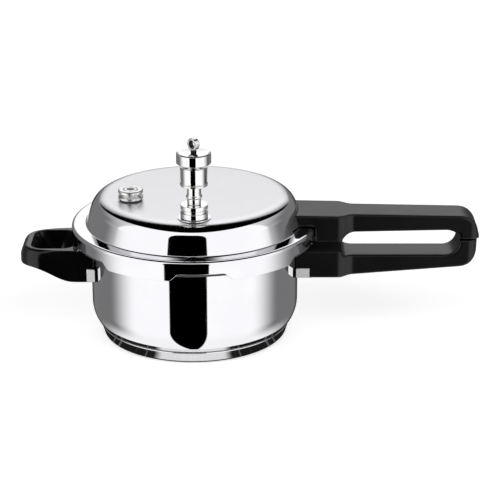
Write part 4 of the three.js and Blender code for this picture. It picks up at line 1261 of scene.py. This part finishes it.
@dataclass
class LongHandle:
    """The two halves of the long handle."""

    end: float = 243.0
    end_slant: float = 5.0
    end_curve: float = 16.0
    pot_half_shorter: float = 1.8
    top: float = 109.4
    droop: float = 2.8
    lid_half_under: float = 85.9
    pot_half_top: float = 85.3
    slot_near: float = 126.0
    slot_far: float = 225.5
    slot_top: float = 92.5
    slot_rise: float = 1.7
    slot_floor: float = 72.0
    slot_curve: float = 10.0
    slot_far_curve: float = 14.0
    root_top: float = 77.6
    root_under: float = 53.3
    end_under: float = 62.3
    flange_out: float = 104.6
    flange_above: float = 99.3
    lid_wall: float = 91.2
    pot_wall: float = 88.9
    lid_places: tuple[float, ...] = (102.0, 107.0, 124.5, 131.0, 219.5, 228.0)
    pot_places: tuple[float, ...] = (124.0, 129.0, 222.0, 230.0)
    pot_bow: Pair = (96.0, 118.0)
    pot_root: float = 21.6
    edge: float = 2.2
    spacing: float = 1.0

    def lid_half(self) -> None:
        """The upper half: it sits over the flange, and its underside rises to the top of the finger slot."""
        under = self.lid_half_under
        far_top = self.slot_top + self.slot_rise
        low = dense(rounded(np.array([
            [self.lid_wall, self.flange_above, 0.0],
            [self.flange_out, self.flange_above, 0.4],
            [self.flange_out, under, 2.4],
            [self.slot_near, under, 0.8],
            [self.slot_near + 0.2, under + 1.7, 5.0],
            [self.slot_near + 3.4, self.slot_top - 1.7, 9.0],
            [self.slot_near + 9.0, self.slot_top, 16.0],
            [self.slot_far - 9.0, far_top, 16.0],
            [self.slot_far - 3.2, far_top - 2.2, 9.0],
            [self.slot_far - 0.2, under + 2.0, 5.0],
            [self.slot_far, under, 0.8],
            [self.end - 0.4, under, 0.0],
        ])), self.spacing)
        top = dense(rounded(np.array([
            [self.lid_wall - 2.4, self.top, 0.0],
            [self.end - self.end_slant, self.top - self.droop, self.end_curve],
            [self.end, under + 1.0, 0.0],
        ]), 14), self.spacing)
        marks = [(self.lid_wall, self.flange_above), (self.flange_out, self.flange_above), (self.flange_out, under),
                 (self.slot_near, under), (self.slot_near + 5.0, self.slot_top), (self.slot_far - 6.0, far_top),
                 (self.slot_far, under), (self.end, under)]
        other = partner(top, low, marks, self.lid_places)
        rings = spread_bar(low, other, False, HandleWidth(), self.edge)
        rings = round_the_axis(rings, self.flange_out + 1.0, self.slot_near)
        Piece("handle_lid_half", MOULDING, Body.LID).add(rings, False, True).build("lid_handle")

    def pot_half(self) -> None:
        """The lower half: its top falls to the slot floor and rises to meet the upper half at the end."""
        end = self.end - self.pot_half_shorter
        top = dense(rounded(np.array([
            [self.pot_wall, self.root_top, 0.0],
            [self.slot_near, self.root_top, 3.0],
            [self.slot_near, self.slot_floor, self.slot_curve],
            [self.slot_far, self.slot_floor, self.slot_far_curve],
            [self.slot_far, self.pot_half_top, 1.2],
            [end - 0.4, self.pot_half_top, 0.0],
        ])), self.spacing)
        low = dense(rounded(np.array([
            [self.pot_wall, self.root_under, 0.0],
            [self.slot_near, self.root_under, 40.0],
            [end - 0.3, self.end_under, self.end_curve],
            [end, self.pot_half_top - 1.0, 0.0],
        ]), 14), self.spacing)
        marks = [(self.pot_wall, self.root_top), (self.slot_near, self.root_top), (self.slot_near, self.slot_floor),
                 (self.slot_far, self.slot_floor), (self.slot_far, self.pot_half_top), (end, self.pot_half_top)]
        other = partner(low, top, marks, self.pot_places)
        rings = spread_bar(top, other, True, HandleWidth(root=self.pot_root, end=end), self.edge)
        rings = round_the_axis(rings, *self.pot_bow)
        Piece("handle_pot_half", MOULDING, Body.POT).add(rings, False, True).build("pot_handle")

    def build(self) -> None:
        """Makes both halves."""
        self.lid_half()
        self.pot_half()


@dataclass
class HelperHandle:
    """The loop on the far side, built towards +X and turned round."""

    wall: float = 88.9
    reach: float = 147.9
    half: float = 30.3
    corner: float = 20.0
    top: float = 81.0
    under: float = 53.0
    end_under: float = 66.0
    slope: Pair = (102.0, 139.0)
    bow: Pair = (92.0, 108.0)
    wall_fillet: float = 1.5
    hole_near: float = 114.0
    hole_far: float = 128.0
    hole_half: float = 23.0
    hole_corner: float = 11.0
    hole_near_draft: float = 12.0
    hole_far_draft: float = 10.5
    outer_edge: float = 6.2
    outer_drop: float = 10.0
    side_edge: float = 2.8
    widening: Pair = (112.0, 140.0)
    inner_edge: float = 0.8
    inner_limit: float = 0.2
    corner_parts: int = 16
    side_parts: int = 12
    fall_points: int = 12
    rise_points: int = 14
    across_points: int = 10

    def outline(self, near: float, far: float, half: float, near_fillet: float, far_fillet: float) -> Array:
        """A rectangle with rounded corners, with the same number of points for every size.

        Args:
            near: x towards the pot.
            far: x away from it.
            half: half width.
            near_fillet: corner radius towards the pot.
            far_fillet: corner radius away from it.
        Returns:
            (n, 2) closed outline.
        """
        corners = np.array([
            [near, -half, near_fillet], [far, -half, far_fillet], [far, half, far_fillet], [near, half, near_fillet],
        ])
        line = rounded(corners, self.corner_parts, closed=True)
        per_corner = len(line) // len(corners)
        long_side = np.arange(len(line)) % per_corner == per_corner - 1
        return filled(line, np.roll(line, -1, axis=0), np.where(long_side, self.side_parts, 1))

    def build(self) -> None:
        """The loop: a rounded section between an outer outline and the finger hole, carried all the way round.

        At each step of the outlines the section runs up the hole's wall, over its edge, across the top, over the
        outer edge, down the outer wall and back below. The outer edge is a quarter of an ellipse that is narrower
        along the sides, and the underside is a smooth slope. Each run of the section gives the share of the way from
        the hole to the outer outline, the level from 0 below to 1 on top, and the heights that the edges take off
        below and on top.
        """
        hole_shape = (self.hole_half, self.hole_corner, self.hole_corner)
        hole = self.outline(self.hole_near, self.hole_far, *hole_shape)
        near, far = self.hole_near - self.hole_near_draft, self.hole_far + self.hole_far_draft
        drafted = self.outline(near, far, *hole_shape)
        outer = self.outline(self.wall, self.reach, self.half, self.wall_fillet, self.corner)
        length = np.linalg.norm(outer - drafted, axis=1)[:, None]
        bend = np.linspace(0.0, 0.5 * math.pi, EDGE_POINTS)
        fall = np.linspace(0.0, 0.5 * math.pi, self.fall_points)
        rise = np.linspace(0.0, 1.0, self.rise_points)
        across = np.linspace(0.0, 1.0, self.across_points)[1:-1]
        opening, closing = 1.0 - np.cos(bend), 1.0 - np.sin(bend)
        drop = self.outer_drop * (1.0 - np.cos(fall))
        edge_width = self.side_edge + (self.outer_edge - self.side_edge) * smooth(outer[:, :1], *self.widening)
        outer_share = edge_width * (1.0 - np.sin(fall)) / length
        inner = self.inner_edge
        inner_share = np.minimum(inner / length, self.inner_limit)
        wall = np.zeros((len(outer), len(rise)))
        runs = [
            (wall, rise, inner, inner),
            (inner_share * opening, 1.0, 0.0, inner * closing),
            (inner_share + (1.0 - outer_share[:, :1] - inner_share) * across, 1.0, 0.0, 0.0),
            (1.0 - outer_share, 1.0, 0.0, drop),
            (wall + 1.0, rise[::-1], inner, drop[-1]),
            (1.0 - inner_share * opening, 0.0, inner * closing, 0.0),
            (1.0 - inner_share - (1.0 - 2.0 * inner_share) * across, 0.0, 0.0, 0.0),
            (inner_share * closing, 0.0, inner * opening, 0.0),
        ]
        share, level, edge_low, edge_top = joined(runs)
        inside = hole[:, None, :] + (drafted - hole)[:, None, :] * level[..., None]
        plan = inside + (outer[:, None, :] - inside) * share[..., None]
        low = self.under + (self.end_under - self.under) * smooth(plan[..., 0], *self.slope) + edge_low
        height = low + (self.top - edge_top - low) * level
        grid = round_the_axis(np.concatenate([plan, height[..., None]], axis=-1), *self.bow)
        Piece("helper_loop", LOOP_MOULDING, Body.POT).add(Side.HELPER.place(grid), True, True).build("helper_handle")


# Brackets and screws


@dataclass
class Stirrup:
    """A sheet-steel stirrup on the pot wall: two feet, two arms and a floor plate."""

    name: str
    node: str
    half_width: float
    arm: float
    low: float
    facing: Side
    lean: float
    wall: float = 88.8
    sheet: float = 1.5
    height: float = 11.0
    rise: float = 1.2
    foot: float = 1.5
    floor: float = 12.0
    floor_inset: float = 2.0
    floor_gap: float = 0.1
    fold: float = 1.6
    edge: float = 0.35
    floor_edge: float = 0.3
    spacing: float = 1.5

    def side(self, sign: float) -> Array:
        """Foot and arm of one side: the sheet follows the wall, folds and runs straight out.

        Args:
            sign: which side of the stirrup's middle, -1 or 1.
        Returns:
            Capped rings.
        """
        line = self.half_width - 0.5 * self.sheet
        middle = self.wall + 0.5 * self.sheet
        arm_angle = math.asin(line / middle)
        foot_angle = arm_angle + self.foot / middle
        angles = np.linspace(foot_angle, arm_angle, 18)
        wall = middle * np.stack([np.cos(angles), np.sin(angles)], axis=-1)
        end = [math.sqrt(self.wall**2 - self.half_width**2) + self.arm, line - self.lean]
        corners = np.concatenate([wall, [end]])
        fillets = np.zeros((len(corners), 1))
        fillets[-2] = self.fold
        path = dense(rounded(np.concatenate([corners, fillets], axis=1)), self.spacing)
        apart = np.linalg.norm(np.diff(path, axis=0), axis=1) > SHARP_FILLET_MM
        path = path[np.concatenate([[True], apart])] * np.array([1.0, sign])
        ring = plate_ring(self.sheet, self.height, self.edge)
        return strip(path, ring, self.low + self.rise + 0.5 * self.height)

    def floor_plate(self) -> Array:
        """The plate between the arms: a flat section carried across, its pot side following the wall.

        Returns:
            Capped rings.
        """
        half = self.half_width - self.lean - self.floor_inset
        y = np.linspace(-half, half, 40)
        ring = plate_ring(self.floor, self.sheet, self.floor_edge)
        near = np.sqrt(self.wall**2 - y**2) + self.floor_gap
        far = self.wall + self.floor
        share = ring[:, 0] / self.floor + 0.5
        x = near[:, None] * (1.0 - share)[None, :] + far * share[None, :]
        z = np.broadcast_to(ring[None, :, 1] + self.low + 0.5 * self.sheet, x.shape)
        return capped(np.stack([x, np.broadcast_to(y[:, None], x.shape), z], axis=-1))

    def build(self) -> None:
        """Makes the stirrup, turned to its side of the pot."""
        made = Piece(self.name, BRACKET_STEEL, Body.POT)
        for grid in (self.side(-1.0), self.side(1.0), self.floor_plate()):
            made.add(self.facing.place(grid), False, True)
        made.build(self.node)


@dataclass
class Screw:
    """A pan-head screw with a cross recess, standing on its head."""

    name: str
    node: str
    body: Body
    place: Pair
    low: float
    head: float = 4.5
    head_height: float = 2.4
    bevel: float = 0.9
    dome: float = 0.35
    shank: float = 2.5
    length: float = 15.0
    slot_half: float = 0.55
    slot_reach: float = 2.6
    slot_depth: float = 1.1
    slot_edge: float = 0.15
    slot_end: float = 0.3

    def build(self) -> None:
        """Turned head and shank whose underside is sunk along two crossing lines."""
        angles = even_turn(96)
        face = np.linspace(0.0, self.head - self.bevel, 26)
        dome = self.dome * (face / self.head) ** 2
        x, y = face[None, :] * np.cos(angles)[:, None], face[None, :] * np.sin(angles)[:, None]
        across = np.minimum(np.abs(x), np.abs(y))
        reach = np.maximum(np.abs(x), np.abs(y))
        sunk = 1.0 - smooth(across, self.slot_half - self.slot_edge, self.slot_half + self.slot_edge)
        sunk = sunk * (1.0 - smooth(reach, self.slot_reach - self.slot_end, self.slot_reach))
        height = self.low + dome[None, :] + sunk * self.slot_depth
        neck, end = self.low + self.head_height, self.low + self.length
        rest = rounded(np.array([
            [face[-1], self.low + dome[-1], 0.0], [self.head, self.low + self.bevel, 0.7], [self.head, neck, 0.2],
            [self.shank, neck, 0.1], [self.shank, end, 0.5], [0.0, end, 0.0],
        ]), 5)
        front = np.stack([x + self.place[0], y + self.place[1], height], axis=-1)
        grid = np.concatenate([front, turned(rest[1:], angles, self.place)], axis=1)
        Piece(self.name, STEEL, self.body).add(grid, True, False).build(self.node)


@dataclass
class Fixings:
    """Brackets and screws that hold the handles."""

    screw_x: float = 93.6
    lid_screw_x: float = 114.5
    pot_under: float = 53.3
    helper_under: float = 53.0
    below: float = 2.7
    helper_offset: float = 15.0
    lid_screw_low: float = 86.2

    def build(self) -> None:
        """Makes both stirrups and the four screws."""
        Stirrup(
            "handle_stirrup", "pot_handle_bracket", half_width=23.0, arm=12.4, low=self.pot_under,
            facing=Side.LONG_HANDLE, lean=0.6, height=8.0,
        ).build()
        Stirrup(
            "helper_stirrup", "helper_bracket", half_width=33.2, arm=7.9, low=self.helper_under,
            facing=Side.HELPER, lean=1.2,
        ).build()
        Screw("handle_screw", "pot_handle_screw", Body.POT, (self.screw_x, 0.0), self.pot_under - self.below).build()
        low = self.helper_under - self.below
        for side, name in ((1.0, "left"), (-1.0, "right")):
            place = (-self.screw_x, side * self.helper_offset)
            Screw(f"loop_screw_{name}", f"helper_screw_{name}", Body.POT, place, low).build()
        Screw("lid_grip_screw", "lid_handle_screw", Body.LID, (self.lid_screw_x, 0.0), self.lid_screw_low).build()


@dataclass
class InnerParts:
    """Solids that stay as they are and only get their finish."""

    finishes: tuple[tuple[str, Finish], ...] = (
        ("base_core", CORE),
        ("lid_handle_bracket", STEEL),
        ("vent_lock_nut", PLATED),
        ("safety_lock_nut", PLATED),
    )

    def build(self) -> None:
        """Dresses each solid."""
        for node, finish in self.finishes:
            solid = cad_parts[node]
            solid.data.materials.clear()
            solid.data.materials.append(finish.material())
            log.info("%s: dressed as it is", node)


# Studio


@dataclass(frozen=True)
class FrontFlag:
    """A dark upright strip in front that is round at its top; its places are degrees."""

    middle: float = -5.8
    half: float = 20.8
    shoulder: float = 18.0
    rise: float = 22.0
    edge: Pair = (1.1, 0.9)

    def cover(self, azimuth: Level, elevation: Level) -> Level:
        """1 inside the line |a|^4 + b^2.5 = 1, a over the half width and b over the rise above the shoulder.

        Args:
            azimuth: angle in plan from -Y towards +X.
            elevation: angle above the horizon.
        Returns:
            The flag's share of the view.
        """
        across = abs(azimuth - self.middle) / self.half
        upwards = ((elevation - self.shoulder) / self.rise).larger(0.0)
        return (across**4.0 + upwards**2.5).step(*self.edge)


@dataclass(frozen=True)
class RoofFlag:
    """A dark bowed sheet overhead, on the plane one unit above the part; its places are on that plane."""

    bow: float = 0.9
    spread: float = 0.5
    front_bow: float = 0.36
    front: Pair = (-0.70, -0.62)
    back: Pair = (0.5, 0.34)
    sides: Pair = (1.9, 1.3)
    horizon: Pair = (0.02, 0.06)
    lowest: float = 0.01

    def cover(self, x: Level, y: Level, z: Level) -> Level:
        """1 between a front and a back line in v' = (v - bow u^2) / (1 + spread u^2), where u = x / z and v = y / z.

        Args:
            x: a direction's part along the long handle.
            y: its part away from the camera.
            z: its part upwards.
        Returns:
            The flag's share of the view.
        """
        height = z.larger(self.lowest)
        aside, along = x / height, y / height
        square = aside * aside
        bowed = (along - self.bow * square) / (1.0 + self.spread * square)
        length = bowed.step(*self.back) * (bowed - self.front_bow * square).step(*self.front)
        return length * abs(aside).step(*self.sides) * z.step(*self.horizon)


@dataclass
class Studio:
    """White surroundings with two large soft windows, dark flags, a pale floor and the camera.

    Edges of the windows are degrees from -Y to either side, those called rise or fall degrees above the horizon. The
    card's front is radians from -Y, its outside metres from the pot axis and its profile millimetres.
    """

    eye: tuple[float, float, float] = (0.04766, -1.42605, 0.60072)
    pitch: float = math.radians(69.62)
    lens: float = 127.39
    sensor: float = 36.0
    floor_half: float = 3.0
    floor_level: float = -0.0006
    floor_glow: float = 0.62
    window: float = 1.18
    side: float = 0.2
    high_side: float = 0.42
    back: float = 1.25
    ground: float = 1.1
    low_back_dark: float = 0.8
    front: Pair = (108.0, 66.0)
    front_high_soft: Pair = (120.0, 84.0)
    front_high_sharp: Pair = (93.0, 86.0)
    front_soft_share: float = 0.4
    behind: Pair = (148.0, 168.0)
    low_back: Pair = (148.0, 166.0)
    high_rise: Pair = (3.0, 12.0)
    side_rise: Pair = (18.0, 44.0)
    behind_rise: Pair = (10.0, 18.5)
    low_back_fall: Pair = (2.0, -6.0)
    ground_fall: Pair = (-28.0, -54.0)
    card_profile: tuple[Pair, ...] = ((76.0, 0.0), (85.5, 0.0), (85.5, 6.5))
    card_front: Pair = (0.46, 0.34)
    card_outside: Pair = (0.0795, 0.0812)
    card_streaks: Pair = (0.6, 0.72)
    card_levels: tuple[float, float, float] = (0.012, 0.1, 0.85)

    def windows(self, aside: Level, elevation: Level) -> Level:
        """Brightness of the front window, the back window, the sides between and the ground.

        Args:
            aside: angle in plan from -Y to either side, in degrees.
            elevation: angle above the horizon, in degrees.
        Returns:
            The brightness, before the flags.
        """
        high = elevation.step(*self.high_rise)
        soft = aside.step(*self.front_high_soft) * self.front_soft_share
        sharp = aside.step(*self.front_high_sharp) * (1.0 - self.front_soft_share)
        front = aside.step(*self.front) * (1.0 - high) + (soft + sharp) * high
        behind = elevation.step(*self.behind_rise) * aside.step(*self.behind)
        dim = self.side + self.high_side * elevation.step(*self.side_rise)
        level = dim + (self.window - dim) * front + (self.back - dim) * behind * (1.0 - front)
        low_back = aside.step(*self.low_back) * elevation.step(*self.low_back_fall)
        level = level * (1.0 - self.low_back_dark * low_back)
        return level + (self.ground - level) * elevation.step(*self.ground_fall)

    def surroundings(self) -> None:
        """The world: white where the camera sees it, and in reflections windows, grey sides and dark flags."""
        world = bpy.data.worlds.new("studio")
        bpy.context.scene.world = world
        world.use_nodes = True
        sheet = NodeSheet(world.node_tree)
        x, y, z = sheet.axes(sheet.node("ShaderNodeTexCoord", {}, {}, "Generated"))
        to_degrees = 180.0 / math.pi
        azimuth = sheet.heading(x, y) * to_degrees
        elevation = sheet.node("ShaderNodeMath", {"operation": "ARCSINE"}, {0: z}) * to_degrees
        level = self.windows(abs(azimuth), elevation)
        level = level * (1.0 - FrontFlag().cover(azimuth, elevation)) * (1.0 - RoofFlag().cover(x, y, z))
        path = sheet.node("ShaderNodeLightPath", {}, {}, "Is Camera Ray")
        seen = path.larger(Level(sheet, path.socket.node.outputs["Is Transmission Ray"]))
        strength = seen + level * (1.0 - seen)
        light = sheet.node("ShaderNodeBackground", {}, {"Color": WHITE, "Strength": strength})
        sheet.node("ShaderNodeOutputWorld", {}, {"Surface": light})

    def prop(self, name: str, points: Array, faces: Array) -> tuple[bpy.types.Object, NodeSheet]:
        """A studio object with an empty material.

        Args:
            name: name of the object and its material.
            points: (n, 3) places in metres.
            faces: (m, 4) point numbers.
        Returns:
            The object and the material's node sheet.
        """
        mesh = bpy.data.meshes.new(name)
        mesh.from_pydata(points.tolist(), [], faces.tolist())
        made = bpy.data.objects.new(name, mesh)
        bpy.context.scene.collection.objects.link(made)
        skin = bpy.data.materials.new(name)
        skin.use_nodes = True
        mesh.materials.append(skin)
        return made, NodeSheet(skin.node_tree)

    def floor(self) -> None:
        """A pale floor that is white for the camera and keeps a soft shadow."""
        square = np.array([[-1.0, -1.0, 0.0], [1.0, -1.0, 0.0], [1.0, 1.0, 0.0], [-1.0, 1.0, 0.0]])
        points = square * self.floor_half + np.array([0.0, 0.0, self.floor_level])
        made, sheet = self.prop("floor", points, np.arange(4)[None])
        made.visible_glossy = False
        path = sheet.node("ShaderNodeLightPath", {}, {}, "Is Camera Ray")
        matt = sheet.node("ShaderNodeBsdfDiffuse", {}, {"Color": (0.85, 0.85, 0.85, 1.0)})
        glow = sheet.node("ShaderNodeEmission", {}, {"Color": WHITE, "Strength": path * self.floor_glow})
        both = sheet.node("ShaderNodeAddShader", {}, {0: matt, 1: glow})
        sheet.node("ShaderNodeOutputMaterial", {}, {"Surface": both})

    def card(self) -> None:
        """A shallow dish of card under the base, for reflections alone: dark and streaked, its front edge white."""
        ring = turned(np.array(self.card_profile), even_turn(72)) * MILLIMETRE
        ring[..., 2] += 0.5 * self.floor_level
        numbers = np.arange(ring.shape[0] * ring.shape[1]).reshape(ring.shape[:2])
        after = np.roll(numbers, -1, axis=0)
        faces = np.stack([numbers[:, :-1], numbers[:, 1:], after[:, 1:], after[:, :-1]], axis=-1).reshape(-1, 4)
        made, sheet = self.prop("base_card", ring.reshape(-1, 3), faces)
        made.visible_camera = False
        made.visible_diffuse = False
        made.visible_shadow = False
        x, y, _ = sheet.axes(sheet.place())
        aside = abs(sheet.heading(x, y))
        streak = sheet.lines(aside, 14.0).step(*self.card_streaks)
        outside = x.reach(y).step(*self.card_outside)
        dark, streaked, white = self.card_levels
        strength = dark + streaked * streak + white * aside.step(*self.card_front) * outside
        glow = sheet.node("ShaderNodeEmission", {}, {"Color": WHITE, "Strength": strength})
        sheet.node("ShaderNodeOutputMaterial", {}, {"Surface": glow})

    def camera(self) -> None:
        """The camera at the photograph's place and angle."""
        data = bpy.data.cameras.new("camera")
        data.lens = self.lens
        data.sensor_width = self.sensor
        data.dof.use_dof = False
        made = bpy.data.objects.new("camera", data)
        made.location = self.eye
        made.rotation_euler = (self.pitch, 0.0, 0.0)
        bpy.context.scene.collection.objects.link(made)
        bpy.context.scene.camera = made

    def build(self) -> None:
        """Sets the surroundings, the floor, the card and the camera."""
        bpy.context.scene.view_settings.view_transform = "Standard"
        self.surroundings()
        self.floor()
        self.card()
        self.camera()


def main() -> None:
    """Builds the sub-assemblies in order, then the studio."""
    logging.basicConfig(level=logging.INFO, format="%(message)s")
    Pot().build()
    Lid().build()
    Vent().build()
    SafetyValve().build()
    LongHandle().build()
    HelperHandle().build()
    Fixings().build()
    InnerParts().build()
    Studio().build()


if __name__ == "__main__":
    main()
